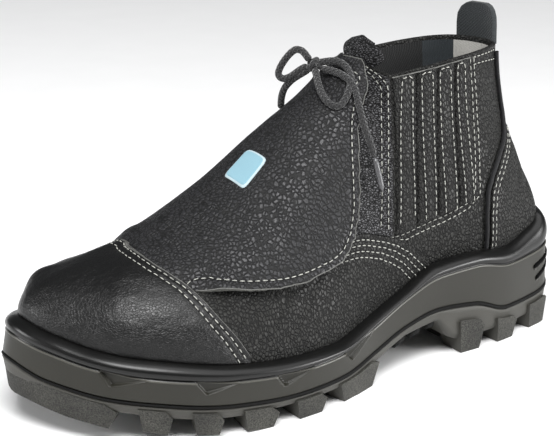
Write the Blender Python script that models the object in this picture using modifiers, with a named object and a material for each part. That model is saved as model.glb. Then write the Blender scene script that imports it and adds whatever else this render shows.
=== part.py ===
# Metatarsal guard boot, left shoe: ankle-high work boot with a sewn guard flap over the instep.
# Frame: +X to the toe, +Y to the wearer's left (the outer side), +Z up, origin under the middle.

import bmesh
import bpy
import numpy as np
from mathutils import Matrix

# Driving sizes in metres
LENGTH = 0.302
BALL_WIDTH = 0.1095
COLLAR_HEIGHT = 0.151
WALL = 0.0022
PANEL = 0.0013
GUARD_THICKNESS = 0.0036
GUARD_SEAM_THICKNESS = 0.0016
TOE_CAP_THICKNESS = 0.0016
FACING_THICKNESS = 0.0011
STRIP_THICKNESS = 0.0014
GROOVE_THICKNESS = 0.0005
INSOLE_THICKNESS = 0.0030
TONGUE_THICKNESS = 0.0020
LABEL_THICKNESS = 0.0004
PIPING_RADIUS = 0.0011
LACE_RADIUS = 0.00175
FLARE = 0.0026
LUG_TOP_MARGIN = 0.0024
LUG_REACH = 0.0150

# Clearances in metres
FIT_GAP = 0.0003
PANEL_GAP = 0.0007
BOND_GAP = 0.0006
CUP_INSET = 0.0060
UPPER_INSET = 0.0080
GUARD_LIFT = 0.0028
GUARD_EDGE_LIFT = 0.0020

# Levels where overlays stop under the collar
GORE_TOP = 0.975
COUNTER_TOP = 0.955

# The tables below are in millimetres at the reference size; these bring them to metres
KX = LENGTH / 302.0
KY = BALL_WIDTH / 109.5
KZ = COLLAR_HEIGHT / 151.0

# Sole rows: station from the heel, half width outer and inner, then heights on the side:
# top of the bead, groove under the bead, split between midsole and outsole
SOLE_ROWS = (
    (0, 0, 0, 64.0, 47.5, 25.0),
    (6, 25.0, 23.0, 61.5, 46.0, 21.5),
    (20, 32.5, 31.0, 55.0, 43.2, 18.5),
    (42, 37.5, 35.5, 50.0, 42.3, 18.3),
    (66, 39.0, 35.5, 52.0, 46.2, 25.5),
    (90, 39.0, 33.0, 50.5, 45.2, 27.4),
    (112, 40.5, 32.0, 41.5, 38.8, 23.6),
    (135, 45.0, 34.0, 33.5, 30.5, 17.0),
    (160, 53.0, 39.0, 29.0, 24.8, 13.0),
    (188, 56.5, 47.0, 29.5, 24.2, 12.4),
    (216, 55.0, 52.7, 32.0, 26.0, 14.0),
    (236, 51.0, 53.6, 35.0, 28.4, 16.3),
    (254, 43.5, 52.0, 38.0, 31.0, 19.2),
    (270, 33.0, 48.0, 40.5, 34.0, 21.7),
    (281, 20.5, 41.5, 43.0, 36.5, 24.0),
    (290.5, 7.0, 32.0, 46.5, 40.0, 27.0),
    (297.5, -13.0, 13.0, 50.0, 43.5, 32.5),
)

# Last rows, one for each sole row: point on the collar or the ridge (along, outer y, inner y,
# height), then how far the side rises and bulges from the bead, and how flat and steep it ends
LAST_ROWS = (
    (27, -8, -8, 151.0, 11, 0.0, 1.0, 54),
    (29, 1.5, -17, 151.0, 13, 0.5, 1.0, 52),
    (36, 8, -25, 151.0, 20, 1.5, 1.5, 46),
    (51, 14.5, -30.5, 150.5, 32, 2.5, 2.0, 36),
    (70, 18.0, -32, 149.5, 34, 2.5, 2.5, 36),
    (91, 20.5, -31, 148.0, 36, 2.0, 4.0, 34),
    (112, 19.5, -27, 146.0, 40, 1.5, 6.0, 28),
    (115, -3, -3, 148.5, 42, 1.0, 26.0, 8),
    (152, -4, -4, 124.0, 40, 0.5, 22.0, 0),
    (193, -7, -7, 93.0, 30, 0.5, 30.0, 0),
    (230, -11, -11, 73.0, 24, 0.5, 36.0, 0),
    (230, -11, -11, 73.0, 23, 0.5, 33.0, 0),
    (230, -11, -11, 73.0, 22, 0.5, 31.0, 0),
    (230, -11, -11, 73.0, 20, 0.5, 30.0, 0),
    (230, -11, -11, 73.0, 16, 0.5, 30.0, 1),
    (230, -11, -11, 73.0, 13, 0.5, 32.0, 3),
    (230, -11, -11, 73.0, 11, 0.5, 34.0, 4),
)

# Tongue tab: base point in millimetres, then rows of rise and half width
TONGUE_TAB_X, TONGUE_TAB_Y, TONGUE_TAB_Z = 111.5, -5.0, 148.5
TONGUE_TAB = ((-7.0, 7.5), (0.0, 12.5), (4.5, 16.0), (8.5, 14.8), (10.7, 12.5), (12.0, 9.0))
TONGUE_CLEARANCE = 0.0013

# Pull tab: rows around the collar, then height in millimetres and share of its full width
PULL_TAB_START, PULL_TAB_END = -1.75, 0.45
PULL_TAB_ROWS = ((148.5, 1.0), (156.0, 1.0), (162.5, 0.97), (166.5, 0.82), (169.0, 0.5))
PULL_TAB_LEAN = 0.05
PULL_TAB_OUT, PULL_TAB_THICKNESS = 0.0010, 0.0030

# Inner floor of the midsole cup: station and height
FLOOR_ROWS = ((0, 34.0), (60, 33.0), (95, 31.5), (125, 25.0), (160, 18.5), (215, 18.5), (262, 24.0), (285, 29.5),
              (302, 36.0))

# Seams of the overlays as pairs of level v and row u on the outer side, the inner side mirrors them
TOE_SEAM = ((0.0, 10.0), (0.15, 10.3), (0.25, 10.58), (0.385, 10.88), (0.485, 11.2), (0.6, 11.8),
            (0.735, 13.1), (0.845, 14.5), (0.9, 16.0))
VAMP_REAR = ((0.0, 5.1), (0.07, 5.35), (0.16, 5.7), (0.22, 6.05), (0.255, 6.4), (0.29, 6.95), (0.33, 7.5),
             (0.5, 8.1), (0.8, 8.7))
FACING_REAR = ((0.27, 6.25), (0.42, 6.22), (0.62, 6.17), (0.82, 6.1), (1.0, 6.04))
GORE_FOOT = ((3.7, 0.30), (4.0, 0.27), (4.6, 0.24), (5.4, 0.22), (6.2, 0.245))
GORE_REAR = ((0.25, 3.72), (0.53, 3.68), (0.78, 3.55), (1.0, 3.45))
COUNTER_EDGE = ((0.0, 3.6), (0.22, 3.5), (0.3, 3.42), (0.45, 2.95), (0.57, 2.5), (0.66, 2.22), (0.8, 2.12),
                (1.0, 2.2))
GUARD_FOOT = ((7.4, 0.36), (7.58, 0.325), (7.75, 0.303), (8.1, 0.285), (8.55, 0.3), (9.0, 0.34), (9.4, 0.38),
              (9.8, 0.435), (10.28, 0.46), (10.83, 0.47))
GUARD_REAR = ((0.36, 7.4), (0.5, 7.36), (0.64, 7.31), (0.71, 7.22), (0.78, 7.05), (0.86, 6.9), (0.93, 7.05),
              (1.0, 7.2))

# Underside: station and height of the outsole between its lugs, and of the lugs themselves
ROOT_ROWS = ((0, 12.0), (6, 9.0), (14, 7.0), (76, 7.0), (82, 10.0), (90, 20.5), (112, 17.5), (128, 11.5),
             (140, 7.5), (160, 7.0), (216, 7.4), (236, 9.0), (254, 12.0), (270, 15.0), (283, 17.5),
             (291, 20.0), (298, 23.0))
GROUND_ROWS = ((0, 1.5), (6, 0.5), (12, 0.0), (206, 0.0), (216, 0.6), (227, 1.9), (240, 3.4), (249, 4.6),
               (261, 6.4), (270, 7.6), (285, 10.5), (298, 15.0))

# Lugs: first and last station of each side lug, and station, length and half width of middle ones
SIDE_LUGS = ((8, 23), (35, 50), (60, 76), (134, 162), (172, 189), (199.5, 216.5), (227, 240), (249, 261.5))
TOE_LUG_START = 270
REAR_LUG_HALF, REAR_LUG_OUT = 0.62, 0.0030
MIDDLE_LUGS = ((44, 11, 13), (64, 12, 14), (98, 4, 15), (110, 4, 15), (148, 11, 18),
               (168, 11, 22), (188, 11, 24), (208, 11, 24), (228, 11, 22))

LABEL_CORNERS = ((8.53, 0.985), (8.48, 0.845), (8.84, 0.83), (8.86, 0.975))
FACING_FOOT_REAR, FACING_FOOT_FRONT = 6.25, 7.5
FACING_TOP = 0.975

# Lace: the path of each piece in millimetres from the back of the heel, the middle and the ground
LACE_KNOT = ((138.4, -10.2, 151.2), (137.4, -7.6, 148.9), (136.5, -5.6, 146.2))
LACE_LOOP_INNER = ((139.5, -13.7, 154.9), (141.4, -17.2, 155.3), (143.8, -20.0, 152.3), (146.8, -21.5, 147.6),
                   (148.6, -21.5, 143.2), (147.8, -19.0, 141.2), (145.2, -15.9, 142.7), (141.6, -12.3, 147.6))
LACE_LOOP_OUTER = ((134.4, -3.1, 151.4), (131.0, 0.5, 152.4), (128.4, 4.6, 150.9), (128.2, 9.2, 147.6),
                   (130.2, 13.0, 143.9), (134.4, 16.2, 138.9), (139.6, 18.0, 134.2), (143.7, 16.8, 132.9),
                   (146.0, 12.6, 134.4), (145.9, 6.8, 138.1), (143.8, 1.6, 141.7), (140.6, -3.0, 145.3))
LACE_STRAND_INNER = ((144.2, -16.6, 138.9), (145.2, -20.6, 135.4), (144.4, -24.3, 129.9), (141.9, -28.5, 123.9))
LACE_END_OUTER = ((129.9, 17.9, 139.2), (131.7, 22.8, 132.6), (131.8, 27.0, 124.8), (130.4, 30.2, 117.2),
                  (129.6, 31.8, 111.9))
LACE_TIP = ((129.4, 32.1, 111.3), (128.3, 34.9, 102.0), (127.6, 36.7, 95.2))
KNOT_RADIUS, TIP_RADIUS = 0.0030, 0.0014

ROW_COUNT = 2 * (len(SOLE_ROWS) - 1)
COLLAR_ROW = 7
AROUND = 64
LEVELS = (0.0, 0.12, 0.26, 0.42, 0.58, 0.73, 0.87, 1.0)


def around_columns(rows, columns, scale, mirror_column=None):
    """Table columns as values around the shoe: heel, outer side, toe, inner side."""
    outer = [[row[c] * s for c, s in zip(columns, scale)] for row in rows]
    inner_columns = mirror_column or columns
    inner = [[row[c] * s for c, s in zip(inner_columns, scale)] for row in rows[1:-1]]
    return np.array(outer + inner[::-1], float)


def outline_columns():
    points = []
    for station, outer, inner, *_ in SOLE_ROWS:
        points.append((station * KX - LENGTH / 2, outer * KY))
    for station, outer, inner, *_ in SOLE_ROWS[-2:0:-1]:
        points.append((station * KX - LENGTH / 2, -inner * KY))
    return np.array(points, float)


def round_slopes(values):
    """Slopes of a closed natural cubic through evenly numbered rows."""
    count = len(values)
    system = np.zeros((count, count))
    right = np.zeros_like(values)
    for i in range(count):
        system[i, i] = 4.0
        system[i, (i - 1) % count] = 1.0
        system[i, (i + 1) % count] = 1.0
        right[i] = 3.0 * (values[(i + 1) % count] - values[i - 1])
    return np.linalg.solve(system, right)


def steady_slopes(values):
    """Slopes of a closed cubic that never swings past its rows."""
    ahead = np.roll(values, -1, axis=0) - values
    behind = values - np.roll(values, 1, axis=0)
    same_way = ahead * behind > 0
    mean = 2 * ahead * behind / np.where(same_way, ahead + behind, 1.0)
    return np.where(same_way, mean, 0.0)


def closed_cubic(values, slopes, u):
    u = np.mod(np.asarray(u, float), len(values))
    index = np.floor(u).astype(int)
    after = (index + 1) % len(values)
    t = (u - index)[..., None]
    start = (2 * t**3 - 3 * t**2 + 1) * values[index] + (t**3 - 2 * t**2 + t) * slopes[index]
    end = (3 * t**2 - 2 * t**3) * values[after] + (t**3 - t**2) * slopes[after]
    return start + end


OUTLINE = outline_columns()
OUTLINE_SLOPES = round_slopes(OUTLINE)
HEIGHTS = around_columns(SOLE_ROWS, (3, 4, 5), (KZ,) * 3)
HEIGHT_SLOPES = steady_slopes(HEIGHTS)
BEAD_TOP, GROOVE, SPLIT = range(3)
TOP_SCALE = (KX, KY, KZ, KZ, KY, KY, KZ)
TOP = around_columns(LAST_ROWS, (0, 1, 3, 4, 5, 6, 7), TOP_SCALE, (0, 2, 3, 4, 5, 6, 7))
TOP[:, 0] -= LENGTH / 2
TOP_SLOPES = steady_slopes(TOP)


def outline(u, outward=0.0):
    """Plan outline of the sole at row number u, moved outward along its normal."""
    u = np.asarray(u, float)
    here = closed_cubic(OUTLINE, OUTLINE_SLOPES, u)
    step = closed_cubic(OUTLINE, OUTLINE_SLOPES, u + 0.02) - closed_cubic(OUTLINE, OUTLINE_SLOPES, u - 0.02)
    normal = np.stack([-step[..., 1], step[..., 0]], axis=-1)
    normal /= np.linalg.norm(normal, axis=-1, keepdims=True)
    return here + normal * np.asarray(outward)[..., None]


def height(u, column):
    return closed_cubic(HEIGHTS, HEIGHT_SLOPES, u)[..., column]


def station_height(rows, x):
    """Height at a place along the shoe, from a table of stations and heights."""
    stations = [row[0] * KX - LENGTH / 2 for row in rows]
    return np.interp(x, stations, [row[1] * KZ for row in rows])


def row_at(station):
    """Row number on the outer side where the outline reaches a station."""
    u = np.linspace(0.0, ROW_COUNT / 2, 641)
    x = outline(u, np.zeros(len(u)))[:, 0]
    return float(np.interp(station * KX - LENGTH / 2, x, u))


def upper_point(u, v):
    """Outer face of the upper: row number u around, v from the bead (0) to collar or ridge (1)."""
    u = np.mod(np.asarray(u, float), ROW_COUNT)
    v = np.asarray(v, float)[..., None]
    foot = outline(u, np.full(u.shape, -UPPER_INSET))
    inside = outline(u, np.full(u.shape, -UPPER_INSET - 0.001))
    outward = (foot - inside) / 0.001
    start = np.concatenate([foot, height(u, BEAD_TOP)[..., None]], axis=-1)
    row = closed_cubic(TOP, TOP_SLOPES, u)
    twin = closed_cubic(TOP, TOP_SLOPES, ROW_COUNT - u)
    near_side = np.minimum(u, ROW_COUNT - u)
    on_ridge = (near_side >= COLLAR_ROW)[..., None]
    end = np.where(on_ridge, (row[..., :3] + twin[..., :3]) / 2, row[..., :3])
    rise, bulge, flat, steep = (row[..., k, None] for k in (3, 4, 5, 6))
    away = start[..., :2] - end[..., :2]
    away /= np.linalg.norm(away, axis=-1, keepdims=True)
    lift = np.concatenate([outward * bulge, rise], axis=-1)
    reach = np.concatenate([away * flat, -steep], axis=-1)
    b0, b1 = (1 - v) ** 3, 3 * v * (1 - v) ** 2
    b2, b3 = 3 * v**2 * (1 - v), v**3
    return b0 * start + b1 * (start + lift) + b2 * (end + reach) + b3 * end


def upper_above(u, v, out):
    """Point above the upper's outer face by out metres, along the face's normal."""
    u = np.asarray(u, float)
    v = np.asarray(v, float)
    level = np.clip(v, 0.01, 0.985)
    along = upper_point(u + 0.05, level) - upper_point(u - 0.05, level)
    up = upper_point(u, level + 0.01) - upper_point(u, level - 0.01)
    normal = np.cross(up, along)
    normal /= np.linalg.norm(normal, axis=-1, keepdims=True)
    return upper_point(u, v) + normal * np.broadcast_to(out, v.shape)[..., None]


def along_table(table, value):
    return np.interp(value, [row[0] for row in table], [row[1] for row in table])


def other_side(u):
    """Row number of the same station on the inner side."""
    return ROW_COUNT - u


def clear_scene():
    for thing in list(bpy.data.objects):
        bpy.data.objects.remove(thing, do_unlink=True)


def make_material(name, colour, roughness, metallic=0.0):
    material = bpy.data.materials.new(name)
    material.use_nodes = True
    shader = material.node_tree.nodes["Principled BSDF"]
    shader.inputs["Base Color"].default_value = (*colour, 1.0)
    shader.inputs["Roughness"].default_value = roughness
    shader.inputs["Metallic"].default_value = metallic
    return material


def new_object(name, mesh, material):
    thing = bpy.data.objects.new(name, mesh)
    bpy.context.scene.collection.objects.link(thing)
    thing.data.materials.append(material)
    return thing


def loft(name, rings, material, caps=True, closed=True):
    """Rings of equal length joined by quads; caps cross from the outer to the inner side."""
    count = len(rings[0])
    mesh = bpy.data.meshes.new(name)
    faces = []
    span = count if closed else count - 1
    for k in range(len(rings) - 1):
        for i in range(span):
            j = (i + 1) % count
            a, b = k * count + i, k * count + j
            faces += [(a, b, b + count), (a, b + count, a + count)]
    if caps:
        last = (len(rings) - 1) * count
        faces += [face[::-1] for face in cross_cap(count, 0)]
        faces += cross_cap(count, last)
    mesh.from_pydata([tuple(p) for ring in rings for p in ring], [], faces)
    tidy_mesh(mesh)
    return new_object(name, mesh, material)


def cross_cap(count, start):
    faces = []
    half = count // 2
    for i in range(half):
        near, far = (count - i) % count, count - i - 1
        if i + 1 != far:
            faces.append((start + i, start + i + 1, start + far))
        if i != near:
            faces.append((start + i, start + far, start + near))
    return faces


def tidy_mesh(mesh, merge=0.00002):
    work = bmesh.new()
    work.from_mesh(mesh)
    bmesh.ops.remove_doubles(work, verts=work.verts, dist=merge)
    bmesh.ops.dissolve_degenerate(work, edges=work.edges, dist=merge)
    bmesh.ops.recalc_face_normals(work, faces=work.faces)
    work.to_mesh(mesh)
    work.free()
    for polygon in mesh.polygons:
        polygon.use_smooth = True


def thicken(thing, thickness, side):
    """Solidify an open surface; side is 1 to grow outward and -1 inward."""
    modifier = thing.modifiers.new("thickness", "SOLIDIFY")
    modifier.thickness = thickness
    modifier.offset = side
    modifier.use_rim = True
    modifier.use_even_offset = True
    return thing


def rows_around(count=AROUND):
    return np.arange(count) * ROW_COUNT / count


def upper_rows():
    """Evenly spaced rows, with twice as many around the tightly curved heel and ankle front."""
    heel = np.arange(-1.25, 1.5, 0.5) % ROW_COUNT
    ankle = np.arange(6.25, 9.5, 0.5)
    return np.sort(np.concatenate([rows_around(), heel, ankle, other_side(ankle)]))


def sole_ring(u, outward, z):
    plan = outline(u, np.broadcast_to(outward, np.shape(u)))
    return np.concatenate([plan, np.broadcast_to(z, plan.shape[:-1])[..., None]], axis=-1)


def end_flare(u):
    """Outward lean of the side wall at heel and toe, in metres."""
    normal = (outline(u, np.full(len(u), 0.001)) - outline(u, np.zeros(len(u)))) / 0.001
    return FLARE * normal[:, 0] ** 2


def build_midsole(material):
    """Cup of the moulded sole: side wall, groove, rounded bead, inner wall and inner floor."""
    u = rows_around()
    split, groove, bead = height(u, SPLIT), height(u, GROOVE), height(u, BEAD_TOP)
    waist = split + 0.55 * (groove - split)
    floor_plan = outline(u, np.full(len(u), -CUP_INSET + FIT_GAP))
    floor = station_height(FLOOR_ROWS, floor_plan[:, 0])
    under = np.minimum(split, floor - 0.004)
    roll = bead - groove
    flare = end_flare(u)
    rings = [
        sole_ring(u, -0.004, under + BOND_GAP / 2),
        sole_ring(u, flare - 0.0006, split + BOND_GAP / 2),
        sole_ring(u, 0.5 * flare, waist),
        sole_ring(u, 0.0002, groove - 0.0010),
        sole_ring(u, -0.0008, groove),
        sole_ring(u, -0.0002, groove + 0.0010),
        sole_ring(u, 0.0004, groove + 0.38 * roll),
        sole_ring(u, -0.0008, groove + 0.72 * roll),
        sole_ring(u, -0.0030, groove + 0.95 * roll),
        sole_ring(u, -0.0047, bead),
        sole_ring(u, -CUP_INSET + FIT_GAP, bead - 0.0012),
        sole_ring(u, -CUP_INSET + FIT_GAP, floor),
    ]
    return loft("midsole", rings, material)


def build_outsole(material):
    u = rows_around()
    split = height(u, SPLIT)
    floor_plan = outline(u, np.full(len(u), -CUP_INSET + FIT_GAP))
    under = np.minimum(split, station_height(FLOOR_ROWS, floor_plan[:, 0]) - 0.004)
    flare = end_flare(u)
    root = station_height(ROOT_ROWS, outline(u, flare)[:, 0])
    rings = [
        sole_ring(u, -0.004, under - BOND_GAP / 2),
        sole_ring(u, flare - 0.0006, split - BOND_GAP / 2),
        sole_ring(u, flare + 0.0004, split - 0.0016),
        sole_ring(u, flare - 0.0006, root + 0.0016),
        sole_ring(u, flare - 0.0030, root),
    ]
    body = loft("outsole", rings, material)
    lugs = join_as_cutter("lugs", [side_lug(*rows) for rows in lug_spans()] + middle_lugs() + [rear_lug()])
    union = body.modifiers.new("lugs", "BOOLEAN")
    union.operation = "UNION"
    union.solver = "EXACT"
    union.object = lugs
    return body


def lug_spans():
    """Row numbers where every edge lug starts and ends, both sides and around the toe."""
    spans = []
    for first, last in SIDE_LUGS:
        start, end = row_at(first), row_at(last)
        spans.append((start, end))
        spans.append((other_side(end), other_side(start)))
    toe = row_at(TOE_LUG_START)
    spans.append((toe, other_side(toe)))
    return spans


def side_lug(start, end):
    """Edge lug as a loft of cross sections, its upper corners cut away at both ends."""
    chamfer = min(0.25, 0.3 * (end - start))
    inside = max(2, int(round((end - start) * 1.3)))
    u = np.concatenate([[start], np.linspace(start + chamfer, end - chamfer, inside), [end]])
    lean = np.concatenate([[1.0], np.zeros(inside), [1.0]])
    x = outline(u, end_flare(u))[:, 0]
    flare = end_flare(u) * np.where(x > 0, 0.2, 1.25)
    ground = station_height(GROUND_ROWS, x)
    root = station_height(ROOT_ROWS, x)
    top = height(u, SPLIT) - LUG_TOP_MARGIN - 0.0022 * lean
    sections = [
        sole_ring(u, flare + 0.0006, ground),
        sole_ring(u, flare + 0.0018 - 0.0006 * lean, top),
        sole_ring(u, np.full(len(u), -LUG_REACH), root + 0.0012),
        sole_ring(u, np.full(len(u), -LUG_REACH + 0.0008), ground),
    ]
    return np.stack(sections, axis=1)


def rear_lug():
    """Bumper block around the back of the heel, standing out from the side wall."""
    u = np.linspace(-REAR_LUG_HALF, REAR_LUG_HALF, 5)
    lean = np.abs(u) / REAR_LUG_HALF
    ground = GROUND_ROWS[0][1] * KZ
    wall = end_flare(u)
    sections = [
        sole_ring(u, wall + 0.0006, ground),
        sole_ring(u, wall + REAR_LUG_OUT, ground + 0.010),
        sole_ring(u, wall + REAR_LUG_OUT - 0.0008 * lean, height(u, SPLIT) - LUG_TOP_MARGIN / 2),
        sole_ring(u, np.full(len(u), -LUG_REACH), height(u, SPLIT) - 0.006),
        sole_ring(u, np.full(len(u), -LUG_REACH), ground),
    ]
    return np.stack(sections, axis=1)


def middle_lugs():
    """Bars between the edge lugs, under the arch too, as short lofts of four-cornered sections."""
    bars = []
    for station, length, half_width in MIDDLE_LUGS:
        x = station * KX - LENGTH / 2
        root = float(station_height(ROOT_ROWS, x))
        ground = float(station_height(GROUND_ROWS, x)) if root < 0.0165 else root - 0.0035
        middle = float(np.mean([p[1] for p in outline(np.array([row_at(station), other_side(row_at(station))]),
                                                      np.zeros(2))]))
        ends = []
        for y in (middle - half_width * KY, middle + half_width * KY):
            corners = ((-1, ground), (-1, root + 0.0015), (1, root + 0.0015), (1, ground))
            ends.append([(x + side * length * KX / 2, y, z) for side, z in corners])
        bars.append(np.array(ends))
    return bars


def join_as_cutter(name, lofts):
    """One helper mesh of closed lofts, kept out of the result as the modifier's other object."""
    mesh = bpy.data.meshes.new(name)
    points, faces = [], []
    for sections in lofts:
        start = len(points)
        rows, corners = sections.shape[:2]
        points += [tuple(p) for p in sections.reshape(-1, 3)]
        for i in range(rows - 1):
            for j in range(corners):
                a, b = start + i * corners + j, start + i * corners + (j + 1) % corners
                faces.append((a, b, b + corners, a + corners))
        faces.append(tuple(start + j for j in reversed(range(corners))))
        faces.append(tuple(start + (rows - 1) * corners + j for j in range(corners)))
    mesh.from_pydata(points, [], faces)
    tidy_mesh(mesh)
    cutter = bpy.data.objects.new(name, mesh)
    cutter.hide_render = True
    cutter.display_type = "WIRE"
    helpers = bpy.data.collections.get("helpers") or bpy.data.collections.new("helpers")
    if helpers.name not in bpy.context.scene.collection.children:
        bpy.context.scene.collection.children.link(helpers)
    helpers.objects.link(cutter)
    return cutter


def build_upper(material):
    """One hollow wall from the cup's floor to the collar, open below and at the collar."""
    u = upper_rows()
    foot = outline(u, np.full(len(u), -UPPER_INSET))
    skirt = np.concatenate([foot, (station_height(FLOOR_ROWS, foot[:, 0]) + FIT_GAP)[:, None]], axis=-1)
    rings = [skirt]
    for v in LEVELS:
        rings.append(upper_point(u, np.full(len(u), v)))
    surface = loft("upper", rings, material, caps=False)
    return thicken(surface, WALL, -1)


def sheet(name, inner, outer, material):
    """Closed panel between two grids of points, its rim included."""
    rows, columns = inner.shape[:2]
    size = rows * columns
    border = [(0, j) for j in range(columns)]
    border += [(i, columns - 1) for i in range(1, rows)]
    border += [(rows - 1, j) for j in range(columns - 2, -1, -1)]
    border += [(i, 0) for i in range(rows - 2, 0, -1)]
    faces = []
    for i in range(rows - 1):
        for j in range(columns - 1):
            a = i * columns + j
            b = a + columns
            faces += [(a, a + 1, b + 1), (a, b + 1, b)]
            faces += [(size + a, size + b + 1, size + a + 1), (size + a, size + b, size + b + 1)]
    for k, (i, j) in enumerate(border):
        i2, j2 = border[(k + 1) % len(border)]
        a, b = i * columns + j, i2 * columns + j2
        faces.append((a, b, size + b, size + a))
    points = np.concatenate([inner.reshape(-1, 3), outer.reshape(-1, 3)])
    mesh = bpy.data.meshes.new(name)
    mesh.from_pydata([tuple(p) for p in points], [], faces)
    tidy_mesh(mesh)
    return new_object(name, mesh, material)


def panel(name, u, v, material, thickness=PANEL):
    """Overlay on the upper's face over grids of rows and levels."""
    below = upper_above(u, v, PANEL_GAP)
    above = upper_above(u, v, PANEL_GAP + thickness)
    return sheet(name, below, above, material)


def both_sides(name, u, v, material, thickness=PANEL):
    """The same overlay on both sides, its columns always in the order of the upper's rows."""
    thickness = np.broadcast_to(thickness, u.shape)
    panel(name + "_outer", u, v, material, thickness)
    panel(name + "_inner", other_side(u)[:, ::-1], v[:, ::-1], material, thickness[:, ::-1])


def build_insole(material):
    u = rows_around()
    inset = -(UPPER_INSET + WALL + 0.0006)
    floor = station_height(FLOOR_ROWS, outline(u, np.full(len(u), inset))[:, 0])
    rings = [
        sole_ring(u, inset, floor + BOND_GAP),
        sole_ring(u, inset, floor + BOND_GAP + INSOLE_THICKNESS),
    ]
    return loft("insole", rings, material)


def build_toe_cap(material):
    """Cap over the steel toe, from the bead up to its curved rear seam."""
    u_half = np.concatenate([[10.12, 10.3, 10.5, 10.67, 10.84], np.arange(11.0, 16.1, 0.5)])
    u_line = np.concatenate([u_half, other_side(u_half[-2::-1])])
    top = np.interp(np.minimum(u_line, other_side(u_line)), [row[1] for row in TOE_SEAM],
                    [row[0] for row in TOE_SEAM])
    share = np.linspace(0.0, 1.0, 6)[:, None]
    v = share * top
    u = np.broadcast_to(u_line, v.shape)
    return panel("toe_cap", u, v, material, thickness=TOE_CAP_THICKNESS)


def build_vamp(material):
    """Side panels of the vamp, from the toe seam back to the curved wing seam."""
    v = np.array([0.0, 0.12, 0.19, 0.26, 0.3, 0.34, 0.42, 0.5])[:, None]
    front = np.interp(v, [row[0] for row in TOE_SEAM], [row[1] for row in TOE_SEAM]) - 0.06
    rear = along_table(VAMP_REAR, v)
    share = np.linspace(0.0, 1.0, 12)[None, :]
    u = rear + (front - rear) * share
    both_sides("vamp", u, np.broadcast_to(v, u.shape), material)


def build_facings(material):
    """Grained strips up the front of the ankle, half hidden by the guard."""
    columns = np.array([6.5, 6.75, 7.0, 7.25, FACING_FOOT_FRONT])
    rear = along_table(FACING_REAR, np.array([*LEVELS[3:-1], FACING_TOP]))
    foot_u = np.array([FACING_FOOT_REAR, (FACING_FOOT_REAR + columns[0]) / 2, *columns])
    foot_v = np.interp(foot_u, [row[1] for row in VAMP_REAR], [row[0] for row in VAMP_REAR]) + 0.012
    u, v = [foot_u], [foot_v]
    for level, rear_u in zip([*LEVELS[3:-1], FACING_TOP], rear):
        u.append(np.array([rear_u, FACING_FOOT_REAR, *columns]))
        v.append(np.full(len(foot_u), level))
    u, v = np.array(u), np.array(v)
    both_sides("facing", u, v, material, thickness=FACING_THICKNESS)


def build_gores(material):
    """Elastic side panel under four raised leather strips with narrow grooves between them."""
    strip_ends = (0.0, 0.29, 0.55, 0.79, 1.0)
    groove = 0.03
    share, raised = [], []
    for start, end in zip(strip_ends, strip_ends[1:]):
        share += [start, start + groove, end - groove]
        raised += [0.0, 1.0, 1.0]
    share.append(1.0)
    raised.append(0.0)
    share = np.array(share)[None, :]
    level = np.linspace(0.0, 1.0, 6)[:, None]
    front_foot, rear_foot = 6.12, 3.82
    foot_u = front_foot + (rear_foot - front_foot) * share
    foot_v = along_table(GORE_FOOT, foot_u)
    v = foot_v + (GORE_TOP - foot_v) * level
    front = along_table(FACING_REAR, v) - 0.13
    rear = along_table(GORE_REAR, v) + 0.1
    u = front + (rear - front) * share
    thickness = GROOVE_THICKNESS + (STRIP_THICKNESS - GROOVE_THICKNESS) * np.array(raised)[None, :]
    thickness = np.broadcast_to(thickness, u.shape)
    both_sides("gore", u, v, material, thickness=thickness)


def build_counter(material):
    """Heel counter around the back, between the two piped seams."""
    v = np.array([0.0, 0.2, 0.34, 0.5, 0.58, 0.66, 0.87, COUNTER_TOP])[:, None]
    edge = along_table(COUNTER_EDGE, v) - 0.12
    middle = np.broadcast_to(np.arange(0.0, 1.6, 0.25), (len(v), 7))
    half = np.concatenate([middle, 1.5 + (edge - 1.5) * np.array([0.34, 0.67, 1.0])], axis=1)
    u = np.concatenate([-half[:, :0:-1], half], axis=1)
    return panel("counter", u, np.broadcast_to(v, u.shape), material)


def tube(name, points, radius, material):
    """Round cord through points: a straight-sided spline with filled ends."""
    curve = bpy.data.curves.new(name, "CURVE")
    curve.dimensions = "3D"
    curve.bevel_depth = radius
    curve.bevel_resolution = 2
    curve.use_fill_caps = True
    spline = curve.splines.new("POLY")
    spline.points.add(len(points) - 1)
    for point, position in zip(spline.points, points):
        point.co = (*position, 1.0)
    return new_object(name, curve, material)


def build_piping(material):
    v = np.linspace(0.01, COUNTER_TOP - 0.01, 11)
    u = along_table(COUNTER_EDGE, v) + 0.02
    lift = PIPING_RADIUS + FIT_GAP
    tube("piping_outer", upper_above(u, v, lift), PIPING_RADIUS, material)
    tube("piping_inner", upper_above(other_side(u), v, lift), PIPING_RADIUS, material)


def guard_grid():
    """Rows and levels of the guard on the outer side: from the toe seam to its rear edge."""
    columns = 9
    share = np.linspace(0.0, 1.0, columns)
    seam_v = np.array([0.46, 0.55, 0.63, 0.7, 0.76, 0.81, 0.85, 0.88, 0.9])
    seam_u = np.interp(seam_v, [row[0] for row in TOE_SEAM], [row[1] for row in TOE_SEAM])
    first = along_table(GUARD_FOOT, 10.15) + (1.0 - along_table(GUARD_FOOT, 10.15)) * share
    u_rows = [seam_u - 0.03, (seam_u + 10.15 - 0.15 * share) / 2]
    v_rows = [seam_v + 0.014, (seam_v + first) / 2]
    for low, high in ((10.15, 10.0), (9.75, 9.6), (9.35, 9.25), (8.95, 8.85), (8.55, 8.45), (8.2, 8.1),
                      (7.9, 7.8), (7.62, 7.5)):
        foot = along_table(GUARD_FOOT, low)
        u_rows.append(low + (high - low) * share)
        v_rows.append(foot + (1.0 - foot) * share)
    rear_v = 0.36 + (1.0 - 0.36) * share
    u_rows.append(along_table(GUARD_REAR, rear_v))
    v_rows.append(rear_v)
    return np.array(u_rows), np.array(v_rows)


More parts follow.
